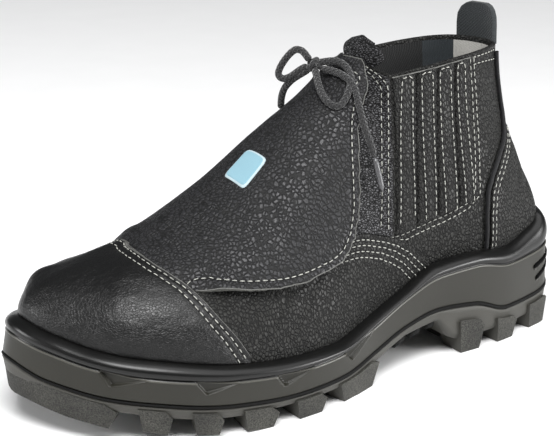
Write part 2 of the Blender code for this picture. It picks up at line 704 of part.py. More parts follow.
def guard_lift(u, v):
    """Clear height under the guard: lowest at the ridge and the toe seam, most at the free edge."""
    foot = along_table(GUARD_FOOT, np.clip(u, 7.4, 10.62))
    share = np.clip((v - foot) / (1.0 - foot), 0.0, 1.0)
    sewn = np.clip((u - 9.2) / 1.2, 0.0, 1.0)
    return GUARD_LIFT + GUARD_EDGE_LIFT * (1.0 - share) ** 1.5 * (1.0 - 0.8 * sewn)


def build_guard(material):
    """Padded flap over the instep, sewn into the toe seam and free at its other edges."""
    u, v = guard_grid()
    thickness = np.full(u.shape, GUARD_THICKNESS)
    thickness[0] = GUARD_SEAM_THICKNESS
    thickness[-1] *= 0.8
    thickness[:, 0] *= 0.8
    lift = guard_lift(u, v)
    lift[0] = GUARD_LIFT - 0.0002
    below = upper_above(u, v, lift)
    above = upper_above(u, v, lift + thickness)
    mirror_u = other_side(u)
    below_inner = upper_above(mirror_u, v, lift)[:, -2::-1]
    above_inner = upper_above(mirror_u, v, lift + thickness)[:, -2::-1]
    below = np.concatenate([below, below_inner], axis=1)
    above = np.concatenate([above, above_inner], axis=1)
    return sheet("metatarsal_guard", below, above, material)


def build_label(material):
    along = np.linspace(0.0, 1.0, 5)[:, None]
    across = np.linspace(0.0, 1.0, 4)[None, :]
    (u00, v00), (u01, v01), (u11, v11), (u10, v10) = LABEL_CORNERS
    u = (1 - along) * ((1 - across) * u00 + across * u01) + along * ((1 - across) * u10 + across * u11)
    v = (1 - along) * ((1 - across) * v00 + across * v01) + along * ((1 - across) * v10 + across * v11)
    lift = guard_lift(u, v) + GUARD_THICKNESS + FIT_GAP
    below = upper_above(u, v, lift)
    above = upper_above(u, v, lift + LABEL_THICKNESS)
    return sheet("guard_label", below, above, material)


def build_tongue(material):
    """Tongue under the ridge, rising as a rounded tab in front of the collar."""
    u = np.array([8.5, 8.25, 8.0, 7.75, 7.5])
    width = np.array([1.0, 1.0, 0.9, 0.75, 0.5])[:, None, None]
    share = 1.0 - width * np.linspace(1.0, 0.0, 4)[None, :, None]
    depth = WALL + TONGUE_CLEARANCE
    ridge = upper_above(u, np.full(len(u), LEVELS[-1]), -depth)[:, None]
    outer_edge = upper_above(u, np.full(len(u), LEVELS[-2]), -depth)[:, None]
    inner_edge = upper_above(other_side(u), np.full(len(u), LEVELS[-2]), -depth)[:, None]
    outer_side = outer_edge + (ridge - outer_edge) * share
    inner_side = (inner_edge + (ridge - inner_edge) * share)[:, -2::-1]
    top_face = np.concatenate([outer_side, inner_side], axis=1)[:, ::-1]
    across = np.linspace(-1.0, 1.0, top_face.shape[1])
    tab = []
    for rise, half_width in TONGUE_TAB:
        x = TONGUE_TAB_X * KX - LENGTH / 2 - 0.1 * rise * KZ - 0.0022 * (half_width / 16.0) ** 2 * across**2
        y = (TONGUE_TAB_Y + half_width * across) * KY
        z = (TONGUE_TAB_Z + rise) * KZ
        drop = 0.0016 * across**2 * (rise / 12.0)
        tab.append(np.stack([x, y, z - drop], axis=-1))
    top_face = np.concatenate([top_face, np.array(tab)], axis=0)
    return sheet_along_normal("tongue", top_face, TONGUE_THICKNESS, material)


def build_pull_tab(material):
    """Folded webbing loop standing up behind the collar, its top rounded."""
    middle = (PULL_TAB_START + PULL_TAB_END) / 2
    half = (PULL_TAB_END - PULL_TAB_START) / 2
    across = np.linspace(-1.0, 1.0, 7)
    inner, outer = [], []
    for height_mm, width in PULL_TAB_ROWS:
        u = middle + half * width * across
        lean = PULL_TAB_LEAN * (height_mm - PULL_TAB_ROWS[0][0]) * KZ
        for rows, out in ((inner, PULL_TAB_OUT), (outer, PULL_TAB_OUT + PULL_TAB_THICKNESS)):
            ring = upper_above(u, np.full(len(u), 1.0), out)
            ring[:, 0] += lean
            ring[:, 2] = height_mm * KZ
            rows.append(ring)
    return sheet("pull_tab", np.array(inner), np.array(outer), material)


def build_lace(material, clear):
    """Bow on top of the guard: knot, two loops, one strand to the far side, one hanging end."""
    place = np.array([KX, KY, KZ])
    heel = np.array([LENGTH / 2, 0.0, 0.0])
    pieces = (
        ("lace_knot", LACE_KNOT, KNOT_RADIUS, material),
        ("lace_loop_inner", LACE_LOOP_INNER, LACE_RADIUS, material),
        ("lace_loop_outer", LACE_LOOP_OUTER, LACE_RADIUS, material),
        ("lace_strand_inner", LACE_STRAND_INNER, LACE_RADIUS, material),
        ("lace_end_outer", LACE_END_OUTER, LACE_RADIUS, material),
        ("lace_tip", LACE_TIP, TIP_RADIUS, clear),
    )
    for name, route, radius, look in pieces:
        tube(name, np.array(route) * place - heel, radius, look)


def sheet_along_normal(name, grid, thickness, material):
    """Closed panel that grows behind a grid of points, away from its normal."""
    down = np.gradient(grid, axis=0)
    across = np.gradient(grid, axis=1)
    normal = np.cross(down, across)
    normal /= np.linalg.norm(normal, axis=-1, keepdims=True)
    return sheet(name, grid + normal * thickness, grid, material)


def centre_on_origin():
    """Move everything so that the origin lies on the ground under the middle of the part."""
    graph = bpy.context.evaluated_depsgraph_get()
    points = []
    for thing in bpy.context.scene.collection.objects:
        shape = thing.evaluated_get(graph)
        points += [tuple(vertex.co) for vertex in shape.to_mesh().vertices]
        shape.to_mesh_clear()
    low, high = np.min(points, axis=0), np.max(points, axis=0)
    shift = Matrix.Translation((-(low[0] + high[0]) / 2, -(low[1] + high[1]) / 2, -low[2]))
    for thing in bpy.data.objects:
        thing.data.transform(shift)
    bpy.context.view_layer.update()


def main():
    clear_scene()
    rubber = make_material("sole_rubber", (0.035, 0.036, 0.034), 0.7)
    foam = make_material("sole_foam", (0.03, 0.031, 0.03), 0.5)
    leather = make_material("black_leather", (0.018, 0.018, 0.019), 0.45)
    grained = make_material("grained_leather", (0.015, 0.015, 0.016), 0.5)
    fabric = make_material("board_fabric", (0.09, 0.09, 0.085), 0.9)
    edging = make_material("edging", (0.01, 0.01, 0.012), 0.6)
    print_blue = make_material("label_print", (0.35, 0.62, 0.75), 0.5)
    cord = make_material("lace_braid", (0.02, 0.02, 0.022), 0.8)
    clear = make_material("lace_tip_plastic", (0.5, 0.5, 0.5), 0.3)
    build_outsole(rubber)
    build_midsole(foam)
    build_insole(fabric)
    build_upper(leather)
    build_toe_cap(leather)
    build_vamp(leather)
    build_facings(grained)
    build_gores(leather)
    build_counter(leather)
    build_piping(edging)
    build_guard(leather)
    build_label(print_blue)
    build_tongue(grained)
    build_pull_tab(edging)
    build_lace(cord, clear)
    centre_on_origin()


main()
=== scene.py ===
# Looks of the metatarsal guard boot: finishes, seams, creases, lace, lining and studio.

from functools import partial

import bmesh
import bpy
import numpy as np
from mathutils import Matrix, Vector
from mathutils.bvhtree import BVHTree


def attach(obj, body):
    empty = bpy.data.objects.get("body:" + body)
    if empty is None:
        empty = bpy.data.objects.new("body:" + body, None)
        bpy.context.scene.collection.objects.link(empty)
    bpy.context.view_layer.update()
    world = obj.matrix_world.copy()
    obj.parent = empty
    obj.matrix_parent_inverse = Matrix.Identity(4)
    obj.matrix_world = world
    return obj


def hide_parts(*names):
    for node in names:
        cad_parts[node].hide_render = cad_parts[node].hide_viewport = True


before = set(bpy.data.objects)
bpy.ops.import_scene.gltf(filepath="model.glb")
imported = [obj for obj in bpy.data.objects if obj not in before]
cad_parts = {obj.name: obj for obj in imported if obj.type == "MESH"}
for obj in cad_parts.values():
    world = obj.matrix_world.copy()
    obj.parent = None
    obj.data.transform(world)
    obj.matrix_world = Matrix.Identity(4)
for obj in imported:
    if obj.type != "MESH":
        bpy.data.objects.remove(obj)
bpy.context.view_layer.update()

# Sizes in metres, the same as the solids
LENGTH = 0.302
BALL_WIDTH = 0.1095
COLLAR_HEIGHT = 0.151
WALL = 0.0022
PANEL = 0.0013
TOE_CAP_THICKNESS = 0.0016
FACING_THICKNESS = 0.0011
STRIP_THICKNESS = 0.0014
INSOLE_THICKNESS = 0.0030
TONGUE_THICKNESS = 0.0020
PIPING_RADIUS = 0.0011
LACE_RADIUS = 0.00175
TIP_RADIUS = 0.0014
FLARE = 0.0026
LUG_TOP_MARGIN = 0.0024
LUG_REACH = 0.0150

# Clearances in metres
PANEL_GAP = 0.0007
BOND_GAP = 0.0006
UPPER_INSET = 0.0080
GUARD_LIFT = 0.0028
GUARD_EDGE_LIFT = 0.0020

# The tables below are in millimetres at the reference size; these bring them to metres
KX = LENGTH / 302.0
KY = BALL_WIDTH / 109.5
KZ = COLLAR_HEIGHT / 151.0

# Sole rows: station from the heel, half width outer and inner, then heights on the side:
# top of the bead, groove under the bead, split between midsole and outsole
SOLE_ROWS = (
    (0, 0, 0, 64.0, 47.5, 25.0),
    (6, 25.0, 23.0, 61.5, 46.0, 21.5),
    (20, 32.5, 31.0, 55.0, 43.2, 18.5),
    (42, 37.5, 35.5, 50.0, 42.3, 18.3),
    (66, 39.0, 35.5, 52.0, 46.2, 25.5),
    (90, 39.0, 33.0, 50.5, 45.2, 27.4),
    (112, 40.5, 32.0, 41.5, 38.8, 23.6),
    (135, 45.0, 34.0, 33.5, 30.5, 17.0),
    (160, 53.0, 39.0, 29.0, 24.8, 13.0),
    (188, 56.5, 47.0, 29.5, 24.2, 12.4),
    (216, 55.0, 52.7, 32.0, 26.0, 14.0),
    (236, 51.0, 53.6, 35.0, 28.4, 16.3),
    (254, 43.5, 52.0, 38.0, 31.0, 19.2),
    (270, 33.0, 48.0, 40.5, 34.0, 21.7),
    (281, 20.5, 41.5, 43.0, 36.5, 24.0),
    (290.5, 7.0, 32.0, 46.5, 40.0, 27.0),
    (297.5, -13.0, 13.0, 50.0, 43.5, 32.5),
)

# Last rows, one for each sole row: point on the collar or the ridge (along, outer y, inner y,
# height), then how far the side rises and bulges from the bead, and how flat and steep it ends
LAST_ROWS = (
    (27, -8, -8, 151.0, 11, 0.0, 1.0, 54),
    (29, 1.5, -17, 151.0, 13, 0.5, 1.0, 52),
    (36, 8, -25, 151.0, 20, 1.5, 1.5, 46),
    (51, 14.5, -30.5, 150.5, 32, 2.5, 2.0, 36),
    (70, 18.0, -32, 149.5, 34, 2.5, 2.5, 36),
    (91, 20.5, -31, 148.0, 36, 2.0, 4.0, 34),
    (112, 19.5, -27, 146.0, 40, 1.5, 6.0, 28),
    (115, -3, -3, 148.5, 42, 1.0, 26.0, 8),
    (152, -4, -4, 124.0, 40, 0.5, 22.0, 0),
    (193, -7, -7, 93.0, 30, 0.5, 30.0, 0),
    (230, -11, -11, 73.0, 24, 0.5, 36.0, 0),
    (230, -11, -11, 73.0, 23, 0.5, 33.0, 0),
    (230, -11, -11, 73.0, 22, 0.5, 31.0, 0),
    (230, -11, -11, 73.0, 20, 0.5, 30.0, 0),
    (230, -11, -11, 73.0, 16, 0.5, 30.0, 1),
    (230, -11, -11, 73.0, 13, 0.5, 32.0, 3),
    (230, -11, -11, 73.0, 11, 0.5, 34.0, 4),
)

# Tongue tab: base point in millimetres, rows of rise and half width below its round, then the round
# as its middle height, height and half width
TONGUE_TAB_X, TONGUE_TAB_Y, TONGUE_TAB_Z = 111.5, -5.0, 148.5
TONGUE_NECK = ((-7.0, 14.0), (-4.5, 12.2), (-3.0, 11.2), (-1.8, 10.8))
TONGUE_ROUND = (4.6, 7.4, 15.6)

# Pull tab: rows around the collar, then height in millimetres and share of its full width
PULL_TAB_START, PULL_TAB_END = -1.75, 0.45
PULL_TAB_ROWS = ((148.5, 1.0), (158.0, 1.0), (162.5, 0.97), (166.0, 0.84), (168.0, 0.65), (169.0, 0.42))
PULL_TAB_LEAN = 0.05
PULL_TAB_OUT, PULL_TAB_THICKNESS = 0.0010, 0.0030

# Inner floor of the midsole cup: station and height
FLOOR_ROWS = ((0, 34.0), (60, 33.0), (95, 31.5), (125, 25.0), (160, 18.5), (215, 18.5), (262, 24.0),
              (285, 29.5), (302, 36.0))

# Seams of the overlays as pairs of level v and row u on the outer side, the inner side mirrors them
FACING_REAR = ((0.27, 6.25), (0.42, 6.22), (0.62, 6.17), (0.82, 6.1), (1.0, 6.04))
GORE_FOOT = ((3.7, 0.30), (4.0, 0.27), (4.6, 0.24), (5.4, 0.22), (6.2, 0.245))
GORE_REAR = ((0.25, 3.72), (0.53, 3.68), (0.78, 3.55), (1.0, 3.45))

# Underside: station and height of the outsole between its lugs, and of the lugs themselves
ROOT_ROWS = ((0, 12.0), (6, 9.0), (14, 7.0), (76, 7.0), (82, 10.0), (90, 20.5), (112, 17.5), (128, 11.5),
             (140, 7.5), (160, 7.0), (216, 7.4), (236, 9.0), (254, 12.0), (270, 15.0), (283, 17.5),
             (291, 20.0), (298, 23.0))
GROUND_ROWS = ((0, 1.5), (6, 0.5), (12, 0.0), (206, 0.0), (216, 0.6), (227, 1.9), (240, 3.4), (249, 4.6),
               (261, 6.4), (270, 7.6), (285, 10.5), (298, 15.0))

# Lugs: first and last station of each side lug, and station, length and half width of middle ones
SIDE_LUGS = ((8, 23), (35, 50), (60, 76), (134, 162), (172, 189), (199.5, 216.5), (227, 240), (249, 261.5))
TOE_LUG_START = 270
REAR_LUG_HALF, REAR_LUG_OUT = 0.62, 0.0030
MIDDLE_LUGS = ((44, 11, 13), (64, 12, 14), (98, 4, 15), (110, 4, 15), (148, 11, 18),
               (168, 11, 22), (188, 11, 24), (208, 11, 24), (228, 11, 22))

FACING_FOOT_REAR = 6.25


ROW_COUNT = 2 * (len(SOLE_ROWS) - 1)
COLLAR_ROW = 7


def unit(vectors):
    """The same directions at length one."""
    return vectors / np.linalg.norm(vectors, axis=-1, keepdims=True)


def running_length(points):
    """Distance along a path up to each of its points."""
    return np.concatenate([[0.0], np.cumsum(np.linalg.norm(np.diff(points, axis=0), axis=-1))])


def places_on(points, where):
    """Places on a path at the given distances along it."""
    length = running_length(points)
    return np.stack([np.interp(where, length, points[:, k]) for k in range(points.shape[1])], axis=-1)


def around_columns(rows, columns, scale, mirror_column=None):
    """Table columns as values around the shoe: heel, outer side, toe, inner side."""
    outer = [[row[c] * s for c, s in zip(columns, scale)] for row in rows]
    inner_columns = mirror_column or columns
    inner = [[row[c] * s for c, s in zip(inner_columns, scale)] for row in rows[1:-1]]
    return np.array(outer + inner[::-1], float)


def outline_columns():
    points = []
    for station, outer, inner, *_ in SOLE_ROWS:
        points.append((station * KX - LENGTH / 2, outer * KY))
    for station, outer, inner, *_ in SOLE_ROWS[-2:0:-1]:
        points.append((station * KX - LENGTH / 2, -inner * KY))
    return np.array(points, float)


def round_slopes(values):
    """Slopes of a closed natural cubic through evenly numbered rows."""
    count = len(values)
    system = np.zeros((count, count))
    right = np.zeros_like(values)
    for i in range(count):
        system[i, i] = 4.0
        system[i, (i - 1) % count] = 1.0
        system[i, (i + 1) % count] = 1.0
        right[i] = 3.0 * (values[(i + 1) % count] - values[i - 1])
    return np.linalg.solve(system, right)


def steady_slopes(values):
    """Slopes of a closed cubic that never swings past its rows."""
    ahead = np.roll(values, -1, axis=0) - values
    behind = values - np.roll(values, 1, axis=0)
    same_way = ahead * behind > 0
    mean = 2 * ahead * behind / np.where(same_way, ahead + behind, 1.0)
    return np.where(same_way, mean, 0.0)


def closed_cubic(values, slopes, u):
    u = np.mod(np.asarray(u, float), len(values))
    index = np.floor(u).astype(int)
    after = (index + 1) % len(values)
    t = (u - index)[..., None]
    start = (2 * t**3 - 3 * t**2 + 1) * values[index] + (t**3 - 2 * t**2 + t) * slopes[index]
    end = (3 * t**2 - 2 * t**3) * values[after] + (t**3 - t**2) * slopes[after]
    return start + end


OUTLINE = outline_columns()
OUTLINE_SLOPES = round_slopes(OUTLINE)
HEIGHTS = around_columns(SOLE_ROWS, (3, 4, 5), (KZ,) * 3)
HEIGHT_SLOPES = steady_slopes(HEIGHTS)
BEAD_TOP, GROOVE, SPLIT = range(3)
TOP_SCALE = (KX, KY, KZ, KZ, KY, KY, KZ)
TOP = around_columns(LAST_ROWS, (0, 1, 3, 4, 5, 6, 7), TOP_SCALE, (0, 2, 3, 4, 5, 6, 7))
TOP[:, 0] -= LENGTH / 2
TOP_SLOPES = steady_slopes(TOP)


def outline(u, outward=0.0):
    """Plan outline of the sole at row number u, moved outward along its normal."""
    u = np.asarray(u, float)
    here = closed_cubic(OUTLINE, OUTLINE_SLOPES, u)
    step = closed_cubic(OUTLINE, OUTLINE_SLOPES, u + 0.02) - closed_cubic(OUTLINE, OUTLINE_SLOPES, u - 0.02)
    normal = unit(np.stack([-step[..., 1], step[..., 0]], axis=-1))
    return here + normal * np.asarray(outward)[..., None]


def height(u, column):
    return closed_cubic(HEIGHTS, HEIGHT_SLOPES, u)[..., column]


def station_height(rows, x):
    """Height at a place along the shoe, from a table of stations and heights."""
    stations = [row[0] * KX - LENGTH / 2 for row in rows]
    return np.interp(x, stations, [row[1] * KZ for row in rows])


def row_at(station):
    """Row number on the outer side where the outline reaches a station."""
    u = np.linspace(0.0, ROW_COUNT / 2, 641)
    x = outline(u, np.zeros(len(u)))[:, 0]
    return float(np.interp(station * KX - LENGTH / 2, x, u))


def upper_point(u, v):
    """Outer face of the upper: row number u around, v from the bead (0) to collar or ridge (1)."""
    u = np.mod(np.asarray(u, float), ROW_COUNT)
    v = np.asarray(v, float)[..., None]
    foot = outline(u, np.full(u.shape, -UPPER_INSET))
    inside = outline(u, np.full(u.shape, -UPPER_INSET - 0.001))
    outward = (foot - inside) / 0.001
    start = np.concatenate([foot, height(u, BEAD_TOP)[..., None]], axis=-1)
    row = closed_cubic(TOP, TOP_SLOPES, u)
    twin = closed_cubic(TOP, TOP_SLOPES, ROW_COUNT - u)
    near_side = np.minimum(u, ROW_COUNT - u)
    on_ridge = (near_side >= COLLAR_ROW)[..., None]
    end = np.where(on_ridge, (row[..., :3] + twin[..., :3]) / 2, row[..., :3])
    rise, bulge, flat, steep = (row[..., k, None] for k in (3, 4, 5, 6))
    away = unit(start[..., :2] - end[..., :2])
    lift = np.concatenate([outward * bulge, rise], axis=-1)
    reach = np.concatenate([away * flat, -steep], axis=-1)
    b0, b1 = (1 - v) ** 3, 3 * v * (1 - v) ** 2
    b2, b3 = 3 * v**2 * (1 - v), v**3
    return b0 * start + b1 * (start + lift) + b2 * (end + reach) + b3 * end


def upper_above(u, v, out):
    """Point above the upper's outer face by out metres, along the face's normal."""
    u = np.asarray(u, float)
    v = np.asarray(v, float)
    level = np.clip(v, 0.01, 0.985)
    along = upper_point(u + 0.05, level) - upper_point(u - 0.05, level)
    up = upper_point(u, level + 0.01) - upper_point(u, level - 0.01)
    normal = unit(np.cross(up, along))
    return upper_point(u, v) + normal * np.broadcast_to(out, v.shape)[..., None]


def along_table(table, value):
    return np.interp(value, [row[0] for row in table], [row[1] for row in table])


def other_side(u):
    """Row number of the same station on the inner side."""
    return ROW_COUNT - u


def sole_ring(u, outward, z):
    plan = outline(u, np.broadcast_to(outward, np.shape(u)))
    return np.concatenate([plan, np.broadcast_to(z, plan.shape[:-1])[..., None]], axis=-1)


def end_flare(u):
    """Outward lean of the side wall at heel and toe, in metres."""
    normal = (outline(u, np.full(len(u), 0.001)) - outline(u, np.zeros(len(u)))) / 0.001
    return FLARE * normal[:, 0] ** 2


FRAME_SHIFT = Vector((0.003550, -0.001333, 0.0))
MM = 0.001


def from_hex(code):
    """Linear colour from an sRGB hex value."""
    parts = [int(code[i:i + 2], 16) / 255 for i in (0, 2, 4)]
    linear = [c / 12.92 if c <= 0.04045 else ((c + 0.055) / 1.055) ** 2.4 for c in parts]
    return (*linear, 1.0)


# Camera at the photograph's angle, fitted to it: azimuth from the shoe's outer side, rise and roll in
# degrees, target and distance in metres, then focal length and optical centre in the photograph's pixels
CAMERA_AZIMUTH, CAMERA_RISE, CAMERA_ROLL = np.radians((34.945, 18.78, 0.934))
CAMERA_TARGET = np.array([-0.001, 0.0, 0.070])
CAMERA_DISTANCE = 0.700
SENSOR_MM = 36.0
IMAGE_WIDTH, IMAGE_HEIGHT = 554, 436
FOCAL_PIXELS = 1422.9
CENTRE_PIXEL = (298.8, 228.7)


def add_camera():
    back = np.array([np.cos(CAMERA_RISE) * np.sin(CAMERA_AZIMUTH),
                     np.cos(CAMERA_RISE) * np.cos(CAMERA_AZIMUTH), np.sin(CAMERA_RISE)])
    right = unit(np.cross(-back, [0.0, 0.0, 1.0]))
    up = np.cross(right, -back)
    turned_right = np.cos(CAMERA_ROLL) * right + np.sin(CAMERA_ROLL) * up
    turned_up = -np.sin(CAMERA_ROLL) * right + np.cos(CAMERA_ROLL) * up
    data = bpy.data.cameras.new("photo_view")
    data.sensor_width = SENSOR_MM
    data.lens = FOCAL_PIXELS / IMAGE_WIDTH * SENSOR_MM
    data.shift_x = (IMAGE_WIDTH / 2 - CENTRE_PIXEL[0]) / IMAGE_WIDTH
    data.shift_y = (CENTRE_PIXEL[1] - IMAGE_HEIGHT / 2) / IMAGE_WIDTH
    camera = bpy.data.objects.new("photo_view", data)
    bpy.context.scene.collection.objects.link(camera)
    place = CAMERA_TARGET + CAMERA_DISTANCE * back + np.array(FRAME_SHIFT)
    turn = Matrix([turned_right, turned_up, back]).transposed().to_4x4()
    camera.matrix_world = Matrix.Translation(place) @ turn
    bpy.context.scene.camera = camera


# Where the lasted leather leaves the plain form: row, level, height in mm, spread in rows and levels
LAST_CORRECTIONS = ((17.45, 0.34, 3.3, 0.95, 0.13), (19.7, 0.63, -3.6, 1.4, 0.15),
                    (20.8, 0.72, -1.6, 0.9, 0.1))
FORM_STEP, FORM_LEVELS = 0.1, 81


def skin_above(u, v, out):
    """Point above the leather with the toe's fuller shoulder and its lower inner side."""
    u, v = np.asarray(u, float), np.asarray(v, float)
    form = np.zeros(v.shape)
    for row, level, rise, wide, tall in LAST_CORRECTIONS:
        form = form + rise * MM * np.exp(-((u - row) / wide) ** 2 - ((v - level) / tall) ** 2)
    return upper_above(u, v, out + form)


def grid_faces(rows, columns, closed=False):
    """Corner numbers of the quads of a grid; closed joins the last column to the first."""
    i, j = np.meshgrid(np.arange(rows - 1), np.arange(columns if closed else columns - 1), indexing="ij")
    after = (j + 1) % columns
    corners = [i * columns + j, (i + 1) * columns + j, (i + 1) * columns + after, i * columns + after]
    return np.stack(corners, axis=-1).reshape(-1, 4)


def surface_tree(points, closed=False):
    """Search tree over a grid of points."""
    faces = grid_faces(*points.shape[:2], closed).tolist()
    return BVHTree.FromPolygons(points.reshape(-1, 3).tolist(), faces)


def form_rows():
    """Fine grid over the plain upper, to find the row and level below any point."""
    u = np.arange(0.0, ROW_COUNT, FORM_STEP)
    v = np.linspace(0.0, 1.0, FORM_LEVELS)
    points = skin_above(*np.meshgrid(u, v), 0.0)
    return u, v, points, surface_tree(points, closed=True)


FORM_U, FORM_V, FORM_POINTS, FORM_TREE = form_rows()


def rows_under(points):
    """Row and level of the place on the upper nearest to each point."""
    found = []
    count = len(FORM_U)
    for point in points.reshape(-1, 3):
        place, _, face, _ = FORM_TREE.find_nearest(Vector(point))
        i, j = divmod(face, count)
        corner = FORM_POINTS[i, j]
        shares = []
        for other in (FORM_POINTS[i, (j + 1) % count], FORM_POINTS[i + 1, j]):
            edge = other - corner
            along = (np.array(place) - corner) @ edge / max(edge @ edge, 1e-14)
            shares.append(float(np.clip(along, 0.0, 1.0)))
        found.append((FORM_U[j] + FORM_STEP * shares[0], FORM_V[i] + (FORM_V[1] - FORM_V[0]) * shares[1]))
    return np.array(found).reshape(*points.shape[:-1], 2)


# Materials

def add(tree, kind, settings=None, links=None):
    """One node with its settings and links; a settings key is a socket name or a node attribute."""
    node = tree.nodes.new(kind)
    for key, value in (settings or {}).items():
        if key in node.inputs.keys():
            node.inputs[key].default_value = value
        elif isinstance(key, int):
            node.inputs[key].default_value = value
        else:
            setattr(node, key, value)
    for socket, source in (links or {}).items():
        tree.links.new(source, node.inputs[socket])
    return node


def start_material(name, roughness, specular, sheen=0.0):
    """A material with its node tree and shader; even values stand on the shader's own sockets."""
    material = bpy.data.materials.new(name)
    material.use_nodes = True
    shader = material.node_tree.nodes["Principled BSDF"]
    shader.inputs["Roughness"].default_value = roughness
    shader.inputs["Specular IOR Level"].default_value = specular
    shader.inputs["Sheen Weight"].default_value = sheen
    return material, material.node_tree, shader


def place_in_mm(tree, stretch=(1.0, 1.0, 1.0)):
    """Object position in millimetres, stretched so that a pattern can run longer one way."""
    spot = add(tree, "ShaderNodeTexCoord")
    return add(tree, "ShaderNodeMapping", {"Scale": tuple(1000.0 * s for s in stretch)},
               {"Vector": spot.outputs["Object"]}).outputs["Vector"]


def noise(tree, vector, size_mm, detail, roughness=0.5, output="Fac"):
    """Soft noise with patches of about size_mm."""
    settings = {"Scale": 1.0 / size_mm, "Detail": detail, "Roughness": roughness}
    return add(tree, "ShaderNodeTexNoise", settings, {"Vector": vector}).outputs[output]


def warped(tree, vector, reach_mm, size_mm):
    """Position pushed about by a soft noise, so that no pattern runs in straight lines."""
    push = noise(tree, vector, size_mm, 2.0, output="Color")
    centred = add(tree, "ShaderNodeVectorMath", {"operation": "SUBTRACT", 1: (0.5, 0.5, 0.5)}, {0: push})
    scaled = add(tree, "ShaderNodeVectorMath", {"operation": "SCALE", "Scale": reach_mm},
                 {0: centred.outputs["Vector"]})
    return add(tree, "ShaderNodeVectorMath", {"operation": "ADD"},
               {0: vector, 1: scaled.outputs["Vector"]}).outputs["Vector"]


def calculate(tree, operation, first, second=None):
    """Math node whose second operand is a socket or a plain number."""
    if second is None or isinstance(second, bpy.types.NodeSocket):
        links = {0: first} if second is None else {0: first, 1: second}
        return add(tree, "ShaderNodeMath", {"operation": operation}, links).outputs["Value"]
    return add(tree, "ShaderNodeMath", {"operation": operation, 1: second}, {0: first}).outputs["Value"]


def ranged(tree, value, low, high, to_low=0.0, to_high=1.0, kind="LINEAR"):
    """A value carried from one range to another."""
    settings = {"interpolation_type": kind, "From Min": low, "From Max": high,
                "To Min": to_low, "To Max": to_high}
    return add(tree, "ShaderNodeMapRange", settings, {"Value": value}).outputs["Result"]


def bump(tree, height, depth_mm, strength, under=None):
    links = {"Height": height}
    if under is not None:
        links["Normal"] = under
    settings = {"Distance": depth_mm * MM, "Strength": strength}
    return add(tree, "ShaderNodeBump", settings, links).outputs["Normal"]


def dress(tree, shader, share, dark, light, normal):
    """Links two tones, mixed by a share, and the surface relief to the shader."""
    tone = add(tree, "ShaderNodeMix", {"data_type": "RGBA", 6: from_hex(dark), 7: from_hex(light)},
               {0: share})
    tree.links.new(tone.outputs[2], shader.inputs["Base Color"])
    tree.links.new(normal, shader.inputs["Normal"])


def pebble_leather(name, dark, light, pebble_mm, depth_mm, roughness, stretch, valley, shine, dull):
    """Cow leather, drum-milled and pigment finished: soft pebbles with fine valleys between them.

    The eye sees small rounded grains with a satin sheen on their tops and darker, duller valleys; their tone is
    painted lighter on the tops as painted sheen and darker in the valleys as painted shade.
    """
    material, tree, shader = start_material(name, roughness, shine)
    spot = place_in_mm(tree, stretch)
    bent = warped(tree, spot, 1.1 * pebble_mm, 2.6 * pebble_mm)
    cells = add(tree, "ShaderNodeTexVoronoi", {"feature": "DISTANCE_TO_EDGE", "Scale": 1.0 / pebble_mm},
                {"Vector": bent}).outputs["Distance"]
    dome = ranged(tree, cells, 0.0, valley, kind="SMOOTHSTEP")
    fine = noise(tree, bent, pebble_mm / 2.6, 4.0, 0.6)
    slack = noise(tree, spot, pebble_mm / 0.16, 3.0)
    normal = bump(tree, slack, 0.9, 1.0)
    normal = bump(tree, dome, depth_mm, 0.9, normal)
    normal = bump(tree, fine, 0.35 * depth_mm, 0.6, normal)
    # Painted sheen and shade: lighter tone on the pebble tops, darker in the valleys
    share = calculate(tree, "MULTIPLY", dome, ranged(tree, fine, 0.3, 0.7, 0.6, 1.0))
    gloss = ranged(tree, dome, 0.0, 1.0, roughness + 0.45 * (1.0 - dull), roughness - 0.04)
    tree.links.new(gloss, shader.inputs["Roughness"])
    dress(tree, shader, share, dark, light, normal)
    return material


def granular_rubber(name, dark, light, grain_mm, depth_mm, roughness, shine=0.35):
    """Moulded rubber or polyurethane: one tone broken by the fine sandy skin of its mould."""
    material, tree, shader = start_material(name, roughness, shine)
    spot = place_in_mm(tree)
    grain = noise(tree, spot, grain_mm, 5.0, 0.7)
    patches = noise(tree, spot, 1.0 / 0.03, 3.0)
    share = calculate(tree, "MULTIPLY", ranged(tree, grain, 0.35, 0.65), patches)
    dress(tree, shader, share, dark, light, bump(tree, grain, depth_mm, 0.8))
    return material


def woven_cloth(name, dark, light, thread_mm, depth_mm, roughness=0.9, sheen=0.2):
    """Plain woven textile: threads over and under at the given spacing, softened by loose fibres."""
    material, tree, shader = start_material(name, roughness, 0.3, sheen)
    along = add(tree, "ShaderNodeUVMap")
    split = add(tree, "ShaderNodeSeparateXYZ", links={"Vector": along.outputs["UV"]})
    waves = [calculate(tree, "SINE", calculate(tree, "MULTIPLY", split.outputs[axis], np.pi / thread_mm))
             for axis in ("X", "Y")]
    fibre = noise(tree, place_in_mm(tree), thread_mm / 2.0, 4.0)
    height = calculate(tree, "ADD", calculate(tree, "MULTIPLY", *waves), fibre)
    dress(tree, shader, fibre, dark, light, bump(tree, height, depth_mm, 0.7))
    return material


